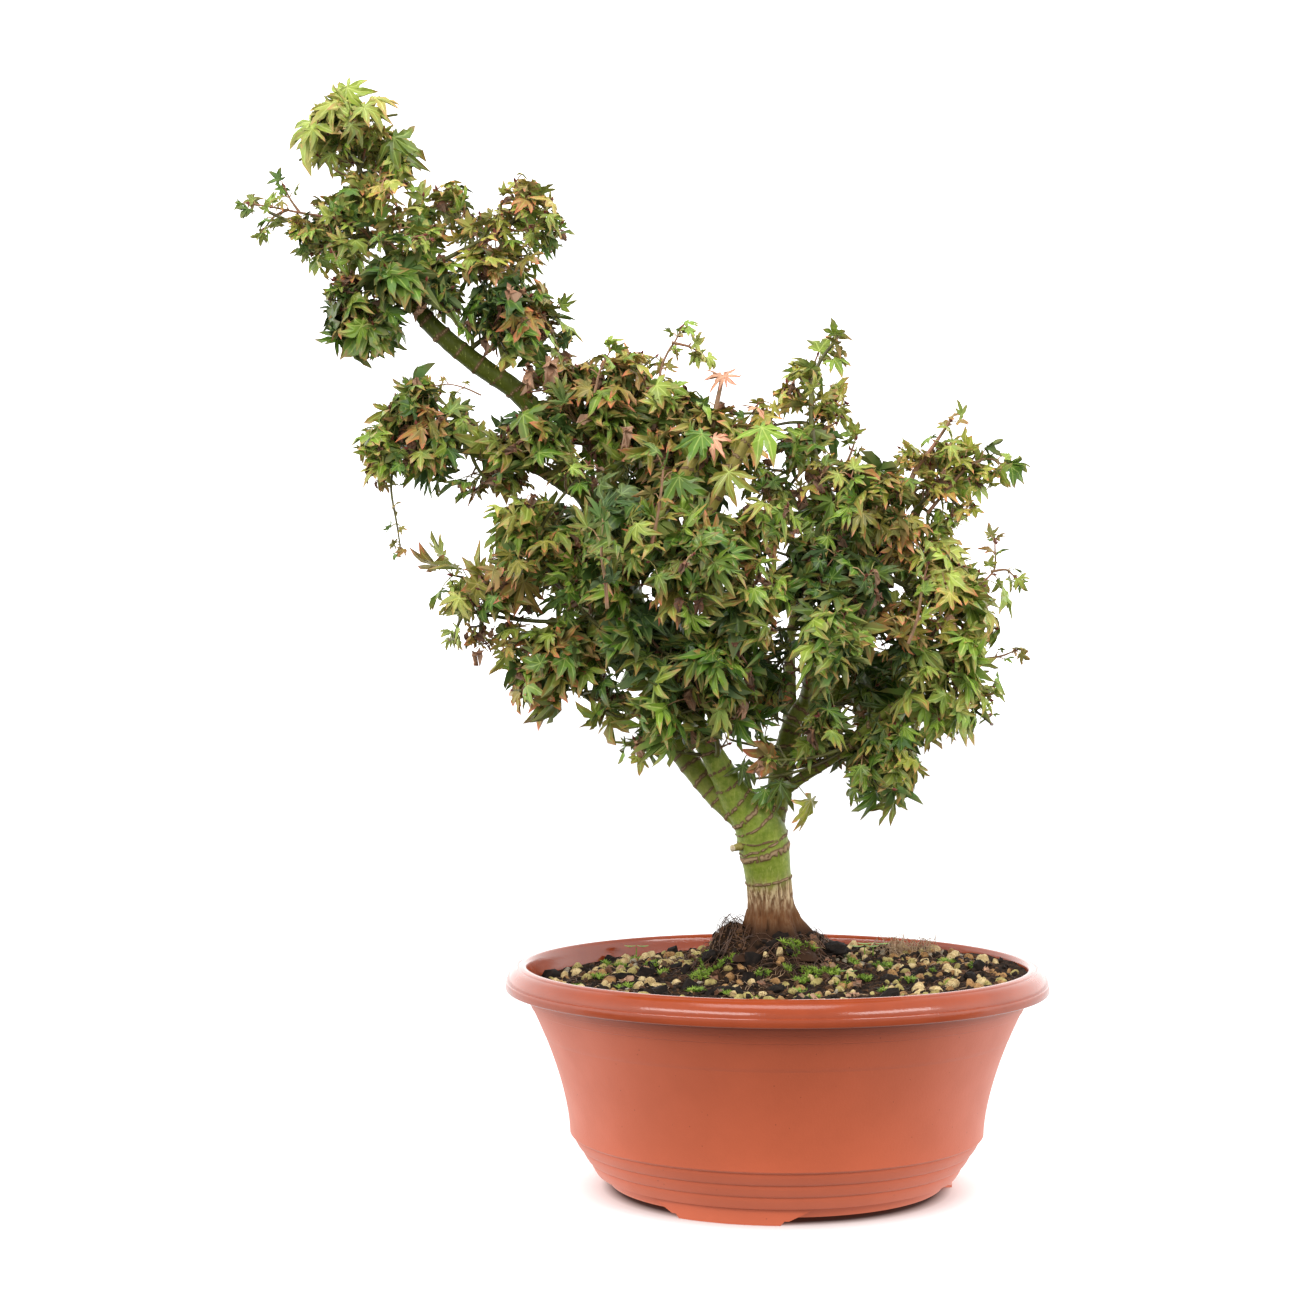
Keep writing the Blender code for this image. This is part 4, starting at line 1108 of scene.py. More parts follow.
# Boughs: ten limbs that leave the trunk and leader, two short spurs in front and a stub low on
# the trunk. One spur and the stub were pruned and show their pale cut ends. The bark is the
# leader's, with finer ring scars.
BOUGH_SPANS = 26
BOUGH_SIDES = 36
BOUGH_RING_SPACING = (6.5, 10.0)
SPURS = {
    "pruned_spur": [
        (-73, -42, 349, 3.5), (-67, -47, 366, 3.5), (-55, -52, 385, 3.3), (-44.5, -54, 402.5, 3.1)],
    "green_spur": [
        (-53, -43, 350, 3.5), (-38, -50, 372, 3.4), (-27, -52, 393, 3.3), (-16, -50, 412, 2.4)],
    "trunk_stub": [
        (-15, 2, 188.5, 2.6), (-20.5, -1.5, 187.6, 2.2), (-24, -3, 186.8, 1.7)],
}


def bough_skin(points, spread):
    """Skin of one bough, thicker where it leaves its bearer, with its own row of ring scars."""
    stations = smooth_line(points, BOUGH_SPANS)
    rings = ring_places(12.0, 400.0, BOUGH_RING_SPACING)

    def relief(point, outward, run, angle, radius):
        height = spread * radius * exp(-run / (9 * MM))
        height += 0.2 * MM * noise((point + outward * radius) * 150.0)
        ring_height, scar = ring_scars(rings, run, outward, angle)
        return height + 0.6 * ring_height, scar, 0.0, 0.0

    return skin(stations, BOUGH_SIDES, relief)


BARKS = {
    # lines, swelling at the foot, then green, dark and yellow tints, and the tint high up, which
    # paints the shade under the crown
    "bough_bark": ([points for _, points in BOUGHS.values()], 0.25, (
        (0.228, 0.270, 0.032), (0.115, 0.145, 0.019), (0.32, 0.31, 0.08), (0.110, 0.135, 0.014))),
    "spur_bark": (SPURS.values(), 0.1, (
        (0.340, 0.330, 0.065), (0.230, 0.185, 0.050), (0.48, 0.42, 0.14), (0.300, 0.250, 0.060))),
}
for name, (lines, swelling, tints) in BARKS.items():
    bark_mesh = skins_to_mesh(name, [bough_skin(points, swelling) for points in lines])
    settle(name, bark_mesh, list(BOUGHS), 70.0, living_bark(name, *tints))

cut_skins = []
for name, size in (("pruned_spur", 2.9), ("trunk_stub", 1.8)):
    cut_end = Vector(SPURS[name][-1])
    cut_way = (cut_end.xyz - Vector(SPURS[name][-2]).xyz).normalized()
    cut_points = [(*(cut_end.xyz + cut_way * step), size * share) for step, share in (
        (-0.6, 1.02), (0.5, 1.06), (1.1, 0.9))]
    cut_skins.append(skin(smooth_line(cut_points, 4), 20, lambda *place: (
        0.12 * MM * noise(place[0] * 900.0 + place[1]), 0.0, 0.0, 0.0)))
cut_wood = mottled_finish(
    "cut_wood", ((0.66, 0.60, 0.42), (0.42, 0.30, 0.16)), 500.0, 0.2, 0.7, 0.5, (0.3, 0.3 * MM))
settle("pruning_cuts", skins_to_mesh("pruning_cuts", cut_skins), [], 50.0, cut_wood)

# Twigs and leaves: every mass of foliage is one stem with opposite pairs of twigs, each pair a
# quarter turn on from the last. The twigs bear finer twigs by the same rule, and every node
# and tip bears leaves on thin stalks. A mass keeps to its own part of the crown.
MASSES = {
    # limb that bears it and how far along, centre and reach in millimetres, what fills it and how
    # much of it, and its clumps: centre and reach of each, and what grows there
    "crown_tip": (("leader_upper", 1), (-237, -2, 576), (38, 36, 40), "small_green", 0.66, [
        (-238, -6, 590, 18, 28, 11, "tip"), (-226, 2, 575, 22, 32, 14, "small_mixed"),
        (-254, -12, 577, 12, 26, 14, "tip"), (-208, 0, 567, 11, 22, 15, "small_green"),
        (-212, -4, 592, 11, 24, 9, "tip"), (-261, -10, 567, 8, 20, 13, "tip")]),
    "upper_left": (("leader_upper", 0.93), (-238, -4, 524), (40, 42, 36), "small_green", 0.8, [
        (-226, -8, 539, 25, 34, 23, "small_green"), (-199, 2, 532, 16, 32, 27, "small_green"),
        (-254, -2, 525, 15, 28, 12, "small_green"), (-206, -20, 520, 18, 20, 20, "small_green"),
        (-217, 0, 558, 20, 30, 14, "small_green")]),
    "left_shoot": (("leader_upper", 0.95), (-273, -2, 538), (32, 28, 26), None, 0, [
        (-263, -2, 532, 9, 20, 8, "small_red")]),
    "upper_tuft": (("leader_upper", 0.8), (-155, 4, 530), (44, 44, 38), "small_bronze", 0.74, [
        (-181, 4, 541, 17, 34, 17, "small_mixed"), (-139, -2, 542, 18, 34, 17, "small_bronze"),
        (-151, 6, 514, 26, 38, 16, "bronze_mid"), (-166, 20, 533, 14, 26, 12, "small_green"),
        (-124, 0, 528, 9, 26, 16, "small_mixed")]),
    "upper_under": (("leader_upper", 0.74), (-226, -4, 478), (36, 40, 34), "mid_broad", 0.74, [
        (-238, -10, 495, 12, 26, 15, "dry_curls"), (-211, -14, 495, 23, 34, 17, "big_dark"),
        (-226, -2, 481, 14, 26, 8, "mid_dry"), (-189, 2, 505, 15, 30, 14, "mid_dry"),
        (-184, 0, 491, 15, 28, 13, "mid_dry"), (-192, -20, 489, 17, 19, 16, "big_dark")]),
    "upper_low": (("leader_upper", 0.52), (-140, 4, 478), (40, 42, 32), "mid_dry", 0.82, [
        (-156, -2, 481, 24, 36, 16, "big_dark"), (-137, 8, 477, 15, 34, 12, "dry_bronze"),
        (-121, 4, 461, 9, 26, 8, "dry_bronze"), (-150, -12, 467, 22, 22, 13, "mid_dry"),
        (-167, 0, 504, 13, 26, 12, "mid_dry"), (-171, -6, 475, 12, 24, 8, "mid_broad"),
        (-149, -6, 460, 12, 24, 8, "mid_broad")]),
    "left_spur": (("bough_left", 1), (-198, -14, 409), (40, 42, 42), "mid_broad", 0.74, [
        (-200, -12, 431, 17, 34, 18, "mid_broad"), (-218, -16, 404, 12, 30, 21, "yellow_dry"),
        (-184, -14, 406, 21, 36, 17, "mid_broad"), (-155, -8, 405, 26, 34, 21, "mid_dry"),
        (-158, -10, 389, 26, 32, 11, "mid_dry"), (-174, -12, 418, 9, 26, 20, "mid_broad")]),
    "top_left": (("leader_upper", 0.12), (-100, 0, 424), (48, 52, 40), "mid_mixed", 0.9, [
        (-114, 2, 444, 19, 36, 13, "dry_bronze"), (-128, -8, 414, 22, 38, 18, "mid_broad"),
        (-80, 0, 451, 18, 36, 12, "bronze_mid"), (-91, 4, 416, 23, 42, 21, "mid_dry"),
        (-134, -24, 405, 21, 20, 18, "mid_broad"), (-131, -10, 443, 13, 24, 10, "mid_dry")]),
    "top_centre": (("bough_centre", 1), (-42, -20, 412), (42, 46, 38), "mid_mixed", 0.78, [
        (-57, -14, 432, 18, 36, 13, "bronze_mid"), (-27, -22, 408, 24, 40, 19, "small_mixed"),
        (-8, -16, 426, 13, 30, 9, "small_bronze"), (-56, -30, 400, 24, 36, 16, "mid_broad")]),
    "right_shoot": (("bough_right_upper", 1), (20, -4, 432), (32, 36, 42), None, 0, [
        (18, 4, 448, 15, 20, 14, "small_yellow"), (7, -8, 435, 10, 24, 10, "small_yellow"),
        (13, -8, 407, 19, 32, 13, "mid_broad"), (33, 6, 432, 9, 20, 18, "small_yellow"),
        (-4, -10, 388, 17, 30, 15, "mid_mixed"), (6, -12, 384, 14, 24, 9, "mid_mixed"),
        (26, -6, 424, 10, 20, 14, "small_yellow"), (-6, -12, 418, 10, 20, 9, "small_yellow")]),
    "far_right_top": (("bough_far_right", 1), (98, 0, 392), (40, 44, 38), "small_bronze", 0.66, [
        (77, 0, 402, 12, 28, 11, "small_bronze"), (96, -4, 404, 12, 26, 10, "small_bronze"),
        (112, -6, 394, 10, 22, 9, "mid_light"), (83, 0, 380, 17, 34, 16, "small_bronze"),
        (102, 2, 374, 10, 26, 10, "small_bronze"), (90, -2, 366, 12, 24, 10, "small_mixed")]),
    "right_top": (("bough_right_upper", 0.55), (46, -22, 372), (42, 46, 38), "mid_mixed", 0.9, [
        (31, -20, 387, 23, 38, 17, "dry_bronze"), (55, -22, 380, 19, 36, 13, "dry_bronze")]),
    "centre_left": (("leader_lower", 0.72), (-122, -12, 344), (48, 52, 46), "mid_mixed", 0.86, [
        (-139, -12, 363, 21, 42, 18, "mid_light"), (-113, -14, 341, 26, 44, 24, "small_mixed"),
        (-147, -4, 346, 14, 34, 17, "mid_light"), (-110, -28, 387, 23, 20, 17, "mid_mixed"),
        (-92, -48, 330, 22, 30, 20, "mid_broad"), (-140, -10, 318, 15, 26, 10, "mid_broad")]),
    "low_left": (("bough_low_left", 1), (-116, 2, 284), (44, 52, 40), "mid_broad", 0.86, [
        (-145, 2, 300, 13, 38, 19, "bronze_mid"), (-114, 2, 290, 27, 46, 22, "mid_broad"),
        (-137, 4, 282, 11, 28, 8, "mid_broad"), (-92, -6, 262, 18, 30, 12, "mid_broad"),
        (-96, -8, 274, 14, 26, 8, "mid_broad")]),
    "left_low_shoot": (("leader_lower", 0.8), (-172, 0, 321), (32, 32, 33), None, 0, [
        (-173, 0, 319, 13, 26, 9, "droop_light"), (-158, 0, 321, 10, 24, 14, "dry_curls"),
        (-155, -6, 327, 15, 26, 18, "mid_dry"), (-178, 0, 304, 7, 22, 12, "droop_light"),
        (-164, -2, 302, 9, 20, 11, "dry_curls")]),
    "centre_front": (("bough_centre", 0.62), (-54, -62, 342), (50, 50, 50), "mid_mixed", 0.95, [
        (-81, -56, 363, 26, 38, 23, "blue_broad"), (-49, -62, 344, 28, 40, 25, "blue_broad")]),
    "centre_low": (("leader_lower", 0.34), (-46, -40, 276), (50, 50, 42), "droop_green", 0.92, [
        (-73, -38, 301, 28, 42, 23, "blue_broad"), (-40, -40, 283, 28, 42, 23, "droop_green"),
        (-59, -36, 259, 23, 38, 12, "droop_green"), (-76, -12, 242, 14, 26, 11, "mid_broad"),
        (-34, -50, 312, 18, 30, 14, "blue_broad"), (-48, -30, 243, 12, 24, 12, "droop_green"),
        (-28, -34, 262, 14, 26, 14, "mid_broad")]),
    # Its fill and one clump are dark leaves that partly paint the shade deep in the crown
    "right_centre": (("bough_front_right", 1), (26, -34, 320), (50, 42, 48), "dark_painted_shade", 0.9, [
        (-8, -44, 362, 22, 40, 20, "mid_mixed"), (-12, -56, 326, 22, 42, 22, "mid_mixed"),
        (24, -48, 297, 26, 42, 23, "droop_green"), (-11, -40, 351, 14, 26, 13, "mid_mixed"),
        (-16, -50, 304, 24, 34, 18, "mid_mixed"), (-1, -14, 286, 11, 22, 28, "dark_painted_shade")]),
    "right": (("bough_far_right", 0.35), (94, -4, 320), (48, 54, 44), "mid_light", 0.8, [
        (78, -8, 350, 21, 42, 19, "small_bronze"), (91, -4, 327, 18, 42, 20, "mid_light"),
        (64, -14, 306, 24, 42, 18, "mid_mixed")]),
    "low_right": (("bough_low_right", 1), (88, -18, 268), (42, 48, 38), "droop_light", 0.76, [
        (75, -16, 290, 19, 38, 12, "droop_green"), (102, -18, 293, 16, 36, 18, "droop_light"),
        (115, -18, 272, 8, 24, 15, "droop_light"), (116, -18, 257, 8, 20, 14, "droop_light")]),
    "right_low": (("bough_low_right", 0.62), (56, -16, 232), (34, 40, 36), "droop_green", 0.78, [
        (60, -16, 248, 19, 34, 14, "droop_green"), (66, -16, 236, 11, 26, 9, "mid_light"),
        (39, -10, 239, 12, 28, 11, "mid_dry"), (4, -2, 222, 11, 22, 12, "mid_dry"),
        (-7, -14, 264, 16, 30, 30, "mid_mixed"), (20, -12, 240, 14, 26, 12, "mid_dry"),
        (-3, -26, 238, 16, 18, 20, "mid_dry"), (28, -24, 250, 20, 18, 22, "droop_green"),
        # Two clumps of dark leaves in the fork behind the trunk, partly painted shade
        (-10, -16, 227, 9, 20, 11, "mid_dry"), (-20, 12, 246, 14, 18, 14, "dark_painted_shade"),
        (-11, 14, 229, 9, 14, 10, "dark_painted_shade")]),
    "back_top": (("bough_back_left", 1), (-56, 58, 396), (52, 50, 46), "back_mid", 0.92, []),
    "back_left": (("bough_back_left", 0.6), (-108, 64, 350), (54, 50, 50), "back_mid", 0.92, []),
    "back_low": (("bough_back_right", 0.35), (-48, 62, 292), (54, 52, 46), "back_mid", 0.92, []),
    "back_right": (("bough_back_right", 1), (42, 66, 344), (54, 52, 52), "back_mid", 0.92, []),
    "back_right_low": (
        ("bough_back_right", 0.22), (52, 44, 270), (50, 50, 40), "back_mid", 0.92, []),
}
# Heights between which a spur shows bare between the leaves in front of it
BARE_PARTS = (("pruned_spur", 357.0, 373.0), ("pruned_spur", 388.0, 410.0),
              ("green_spur", 375.0, 383.0), ("green_spur", 397.0, 406.0))
# Kinds of growth: leaf form, narrowest and widest leaf in millimetres, how far the leaves hang,
# share of dry leaves, share of red twigs, and how many of its sprays take each colour
GROWTH = {
    "tip": ("narrow", 26, 42, 0.6, 0, 0.3, dict(lime=7, light=3)),
    "small_green": ("small", 12, 22, 0.2, 0.03, 0.5,
                    dict(light=4, mid=3, lime=2, bronze=1, blush=1)),
    "small_mixed": ("small", 13, 23, 0.25, 0.06, 0.5, dict(light=4, mid=3, blush=3, bronze=1)),
    "small_red": ("small", 9, 16, 0.25, 0, 0.9, dict(light=3, blush=3, mid=1)),
    "small_bronze": ("small", 11, 21, 0.25, 0.06, 0.8, dict(blush=6, light=3, bronze=2, lime=2)),
    "small_yellow": ("small", 12, 23, 0.25, 0.03, 0.5, dict(lime=4, light=2, blush=4)),
    "bronze_mid": ("small", 13, 24, 0.25, 0.1, 0.6, dict(blush=4, bronze=3, light=3, mid=1)),
    "dry_bronze": ("small", 13, 23, 0.35, 0.35, 0.6, dict(blush=3, bronze=3, mid=2)),
    "dry_curls": ("broad", 14, 24, 0.6, 0.7, 0.4, dict(mid=2, bronze=2)),
    "yellow_dry": ("broad", 16, 28, 0.5, 0.3, 0.3, dict(lime=4, light=3, blush=1)),
    "mid_broad": ("broad", 18, 33, 0.4, 0.1, 0.3, dict(mid=5, light=4, dark=1, bronze=1)),
    "mid_light": ("broad", 16, 30, 0.4, 0.03, 0.4, dict(light=4, lime=3, blush=2)),
    "mid_mixed": ("narrow", 17, 31, 0.35, 0.1, 0.4, dict(mid=5, light=5, bronze=2)),
    "mid_dry": ("broad", 17, 30, 0.45, 0.26, 0.4, dict(mid=4, bronze=2, light=3, dark=1)),
    # Dark leaves that are partly real and partly painted shade, deep in the crown and in the fork
    "dark_painted_shade": ("broad", 16, 30, 0.45, 0.15, 0.2, dict(dark=5, mid=2)),
    "big_dark": ("broad", 24, 38, 0.45, 0.05, 0.2, dict(dark=3, mid=6)),
    "blue_broad": ("broad", 22, 40, 0.5, 0.06, 0.2, dict(blue=4, mid=4, dark=1)),
    "droop_green": ("narrow", 22, 37, 0.7, 0.05, 0.3, dict(mid=5, light=4, dark=1)),
    "droop_light": ("narrow", 20, 34, 0.7, 0.03, 0.3, dict(light=4, lime=4, blush=1)),
    "back_mid": ("broad", 18, 34, 0.45, 0.08, 0.3, dict(mid=5, light=3, dark=2, bronze=1)),
}
UPPER_CROWN = ("crown_tip", "upper_left", "left_shoot", "upper_tuft", "upper_under",
               "upper_low", "left_spur")
MASS_GROWTH = 1.10
PROBE_STEP = 2 * MM
FULL_REACH = 1.10
RAGGED = 1.0
RAGGED_SCALE = 1.9
STEM_FINE = 12
STEM_PAST_CENTRE = 0.30
STEM_BEND = 0.45
STEM_RADII = (1.8 * MM, 1 * MM)
BRANCH_RADII = (1.2 * MM, 0.75 * MM)
BRANCH_BACK = 12 * MM
BRANCH_NODES = (0.42, 0.62, 0.80, 0.95)
FILL_NODES = (0.30, 0.45, 0.60, 0.75, 0.90)
TWIG_RADII = (0.75 * MM, 0.5 * MM)
TWIG_ANGLE = radians(60.0)
TWIG_LIFT = 0.22
TWIG_REACH = (0.45, 0.95)
TWIG_STEP = 5 * MM
TWIG_WANDER = 0.25
TWIG_NODE_SPACING = 11 * MM
TWIG_LEAST = 5 * MM
FINE_TWIG_RADII = (0.5 * MM, 0.38 * MM)
FINE_TWIG_LENGTH = (8 * MM, 18 * MM)
FINE_TWIG_SHARE = 0.22
STALK_RADII = (0.42 * MM, 0.30 * MM)
STALK_SHARE = (0.30, 0.85)
STALK_SAG = 0.28
LEAF_ANGLE = radians(58.0)
LEAF_OUTWARD = 0.7
LEAF_SWING = 1.0
FACE_SWING = 1.2
LEAF_TRIES = (1.0, 1.0, 0.85, 0.85, 0.7)
OTHER_COLOUR = 0.35
BARK_CLEAR = 1.5 * MM
BARK_SPANS = 12
BUD_SHARE = 0.10


class Space:
    """The room that a clump of twigs keeps to: an ellipsoid whose reach is ragged."""

    def __init__(self, centre, radii, growth=1.0):
        self.centre = Vector(centre) * MM
        self.radii = Vector(radii) * MM * growth

    def depth(self, point):
        """0 at the centre and 1 at the ragged edge."""
        away = point - self.centre
        share = sqrt(sum((away[axis] / self.radii[axis]) ** 2 for axis in range(3)))
        if share < 0.3:
            return share
        way = away.normalized() * RAGGED_SCALE + self.centre * 60.0
        return share / (FULL_REACH - RAGGED * abs(noise(way)))

    def reach(self, point, direction):
        """Distance from a point to the edge of the space along a direction."""
        distance = 0.0
        while self.depth(point + direction * (distance + PROBE_STEP)) < 1.0:
            distance += PROBE_STEP
        return distance


def coarse_limbs():
    """Stations of the trunk, the leader and every bough, as far apart as the masses count them."""
    line = smooth_line(TRUNK_LINE, COARSE_SPANS)
    limbs = {
        name: line[first * COARSE_SPANS:last * COARSE_SPANS + 1]
        for name, (first, last) in TRUNK_PARTS.items()}
    for name, (_, points) in BOUGHS.items():
        limbs[name] = smooth_line(points, COARSE_SPANS)
    return limbs


def along(stations, share):
    """Point and direction at a share of the way along some stations."""
    place = share * (len(stations) - 1)
    low = min(int(place), len(stations) - 2)
    point = stations[low][0].lerp(stations[low + 1][0], place - low)
    direction = stations[low][1].lerp(stations[low + 1][1], place - low).normalized()
    return point, direction


def turn_about(vector, axis, angle):
    return Matrix.Rotation(angle, 3, axis) @ vector


def bent_line(start, direction, space, radii):
    """Line that leaves its bearer along a direction and bends past the middle of a space."""
    away = space.centre - start
    end = space.centre + away.normalized() * STEM_PAST_CENTRE * min(space.radii)
    control = start + direction * STEM_BEND * away.length
    line = []
    for step in range(STEM_FINE + 1):
        t = step / STEM_FINE
        place = start * (1.0 - t) ** 2 + control * 2.0 * t * (1.0 - t) + end * t * t
        line.append(Vector((*place, radii[0] + (radii[1] - radii[0]) * t)))
    return with_tangents(line)


def stem_line(bearer, space, limbs):
    """Stem of a mass, from inside its limb to past the middle of its space."""
    limb, share = bearer
    start, direction = along(limbs[limb], share)
    if share < 1.0:
        away = space.centre - start
        direction = square_to(away, direction)
    return bent_line(start, direction, space, STEM_RADII)


def branch_line(stem, space):
    """Branch of a clump, from the part of the mass's stem that lies nearest, a little back."""
    nearest = min(range(len(stem)), key=lambda index: (stem[index][0] - space.centre).length)
    while nearest > 1 and (stem[nearest][0] - space.centre).length < BRANCH_BACK:
        nearest -= 1
    start, direction, _ = stem[nearest]
    away = (space.centre - start).normalized()
    return bent_line(start, (direction * 0.4 + away).normalized(), space, BRANCH_RADII)


wood_lines = {"green": [], "red": []}
stalk_lines = {"green": [], "red": []}
leaf_places = {}
bud_places = []
limb_stations = list(trunk_line)
for points in [*(points for _, points in BOUGHS.values()), *SPURS.values()]:
    limb_stations += smooth_line(points, BARK_SPANS)
bark = KDTree(len(limb_stations))
for index, station in enumerate(limb_stations):
    bark.insert(station[0], index)
bark.balance()
bare_spurs = [
    (place, radius) for name, low, high in BARE_PARTS
    for place, _, radius in smooth_line(SPURS[name], BARK_SPANS)
    if low * MM < place.z < high * MM]


def touches_bark(point):
    return any(distance < limb_stations[index][2] + BARK_CLEAR
               for _, index, distance in bark.find_n(point, 3))


def hides_spur(point):
    """Whether a point is in front of one of the two bare spurs, as the camera sees them."""
    sight = (point - CAMERA_PLACE) / (point.y - CAMERA_PLACE.y)
    return any(
        point.y < place.y + radius
        and (CAMERA_PLACE + sight * (place.y - CAMERA_PLACE.y) - place).length
        < radius + BARK_CLEAR for place, radius in bare_spurs)


def blade_number(form, variant):
    return LEAF_FORMS.index(form) * FORM_VARIANTS + variant


def facing(ahead, normal):
    """Euler angles that turn a leaf's own length to ahead and its face to normal."""
    side = ahead.cross(normal).normalized()
    return Matrix((side, ahead, side.cross(ahead))).transposed().to_euler()


def random_way(rng, most):
    return Vector([rng.uniform(-most, most) for _ in range(3)])


def grow_leaf(root, heading, outward, growth, rng, colour, red, room, share=1.0):
    """One leaf on its stalk; where it would leave its room or touch bark it turns elsewhere."""
    form, narrowest, widest, hang = growth
    width = rng.uniform(narrowest, widest) * MM * share
    tint = rng.random()
    variant = rng.randrange(FORM_VARIANTS)
    stalk_share = rng.uniform(*STALK_SHARE)
    for smaller in LEAF_TRIES:
        swing, face_swing = random_way(rng, LEAF_SWING), random_way(rng, FACE_SWING)
        drop = hang * rng.uniform(0.3, 1.4)
        way = (heading + 0.5 * swing + 0.10 * UP).normalized()
        length = width * smaller / LEAF_WIDTH_TO_LENGTH
        stalk = length * stalk_share
        end = root + way * stalk - UP * STALK_SAG * drop * stalk
        ahead = (way * 0.6 + outward * 0.3 + 0.55 * swing - UP * drop).normalized()
        tip = end + ahead * length
        middle = end + ahead * length * 0.45
        if room and room.depth(middle * 0.4 + tip * 0.6) > 1.0:
            continue
        if touches_bark(middle) or touches_bark(tip) or hides_spur(middle) or hides_spur(tip):
            continue
        face = square_to(UP * 0.9 + outward * LEAF_OUTWARD + face_swing, ahead)
        bend = root + way * stalk * 0.55 + UP * 0.10 * stalk
        line = [root, bend, bend.lerp(end, 0.6) + UP * 0.02 * stalk, end]
        stalk_lines["red" if red else "green"].append((line, *STALK_RADII))
        leaf_places.setdefault((colour, crown_part), []).append(
            (end, facing(ahead, face), length, blade_number(form, variant), tint))
        return 1
    return 0


def grow_pair(root, axis, side, outward, recipe, rng, colour, red, room, share=1.0):
    """Two opposite leaves at a node of a twig, each of which may be dry, and their buds."""
    form, narrowest, widest, hang, dry, _, colours = recipe
    grown = 0
    for sense in (1.0, -1.0):
        heading = axis * cos(LEAF_ANGLE) + side * sense * sin(LEAF_ANGLE)
        leaf_colour = colour
        if rng.random() < OTHER_COLOUR:
            leaf_colour = rng.choices(list(colours), list(colours.values()))[0]
        if rng.random() < dry:
            dried = ("dry", 0.65 * narrowest, 0.75 * widest, 0.8)
            dry_colour = rng.choice(("dry_tan", "dry_brown", "dry_brown"))
            grown += grow_leaf(root, heading, outward, dried, rng, dry_colour, True, room, share)
        else:
            fresh = (form, narrowest, widest, hang)
            grown += grow_leaf(root, heading, outward, fresh, rng, leaf_colour, red, room, share)
        if grown and rng.random() < BUD_SHARE:
            bud_places.append((root + heading * 0.6 * MM, heading, rng.uniform(0.7, 1.2)))
    return grown


def shoot_points(root, heading, length, rng, lift):
    """Points of a shoot that rises a little and wanders as it grows."""
    points, steps = [root], max(2, round(length / TWIG_STEP))
    for _ in range(steps):
        heading = (heading + random_way(rng, TWIG_WANDER) + UP * lift).normalized()
        points.append(points[-1] + heading * length / steps)
    return points


def end_shoot(points, side, space, recipe, rng, colour, red):
    """The pair of leaves, the last leaf and the bud at the tip of a twig."""
    axis = (points[-1] - points[-2]).normalized()
    outward = (points[-1] - space.centre).normalized()
    side = square_to(side, axis)
    grown = grow_pair(points[-1], axis, side, outward, recipe, rng, colour, red, space, 0.9)
    grown += grow_leaf(points[-1], axis, outward, recipe[:4], rng, colour, red, space, 0.85)
    if grown:
        bud_places.append((points[-1] + axis * 0.3 * MM, axis, 1.2))
    return grown


def grow_fine_twig(space, root, heading, recipe, rng, colour, red):
    """A twig of the last order, with leaves at its tip only."""
    length = min(rng.uniform(*FINE_TWIG_LENGTH), 0.8 * space.reach(root, heading))
    if length < TWIG_LEAST:
        return
    points = shoot_points(root, heading, length, rng, 0.10)
    if end_shoot(points, heading.orthogonal(), space, recipe, rng, colour, red):
        wood_lines["red" if red else "green"].append((points, *FINE_TWIG_RADII))


def grow_twig(space, root, heading, recipe, rng):
    """A side twig of the branch, with a fine twig or a leaf on both sides of every node."""
    red_share, colours = recipe[5:]
    length = space.reach(root, heading) * rng.uniform(*TWIG_REACH)
    if length < TWIG_LEAST:
        return
    colour = rng.choices(list(colours), list(colours.values()))[0]
    red = rng.random() < red_share
    points = shoot_points(root, heading, length, rng, 0.07)
    leafy = 0
    side = turn_about(heading.orthogonal().normalized(), heading, rng.uniform(0.0, pi))
    count = round(length / TWIG_NODE_SPACING)
    for index in range(count):
        step = (index + 0.6) / (count + 0.3) * (len(points) - 1)
        low = min(int(step), len(points) - 2)
        place = points[low].lerp(points[low + 1], step - low)
        axis = (points[low + 1] - points[low]).normalized()
        side = square_to(side, axis)
        outward = (place - space.centre).normalized()
        for sense in (1.0, -1.0):
            way = (axis * cos(TWIG_ANGLE) + side * sense * sin(TWIG_ANGLE)
                   + UP * TWIG_LIFT).normalized()
            if rng.random() < FINE_TWIG_SHARE:
                grow_fine_twig(space, place, way, recipe, rng, colour, red)
        if grow_pair(place, axis, side, outward, recipe, rng, colour, red, space):
            leafy = low + 2
        side = axis.cross(side)
    if end_shoot(points, side, space, recipe, rng, colour, red):
        leafy = len(points)
    if leafy > 1:
        wood_lines["red" if red else "green"].append((points[:leafy], *TWIG_RADII))


def grow_twigs(space, branch, nodes, recipe, rng):
    """Opposite pairs of twigs on a branch, each pair a quarter turn on from the last."""
    start = rng.uniform(0.0, pi)
    for index, share in enumerate(nodes):
        point, axis = along(branch, share)
        side = turn_about(axis.orthogonal().normalized(), axis, start + 0.5 * pi * index)
        for sense in (1.0, -1.0):
            heading = axis * cos(TWIG_ANGLE) + side * sense * sin(TWIG_ANGLE)
            grow_twig(space, point, (heading + UP * TWIG_LIFT).normalized(), recipe, rng)
    tip, axis = along(branch, 1.0)
    grow_twig(space, tip, axis, recipe, rng)


LEAF_FORMS = ["broad", "narrow", "small", "dry"]
FORM_VARIANTS = 6
LEAF_WIDTH_TO_LENGTH = 1.38
SEED = 11

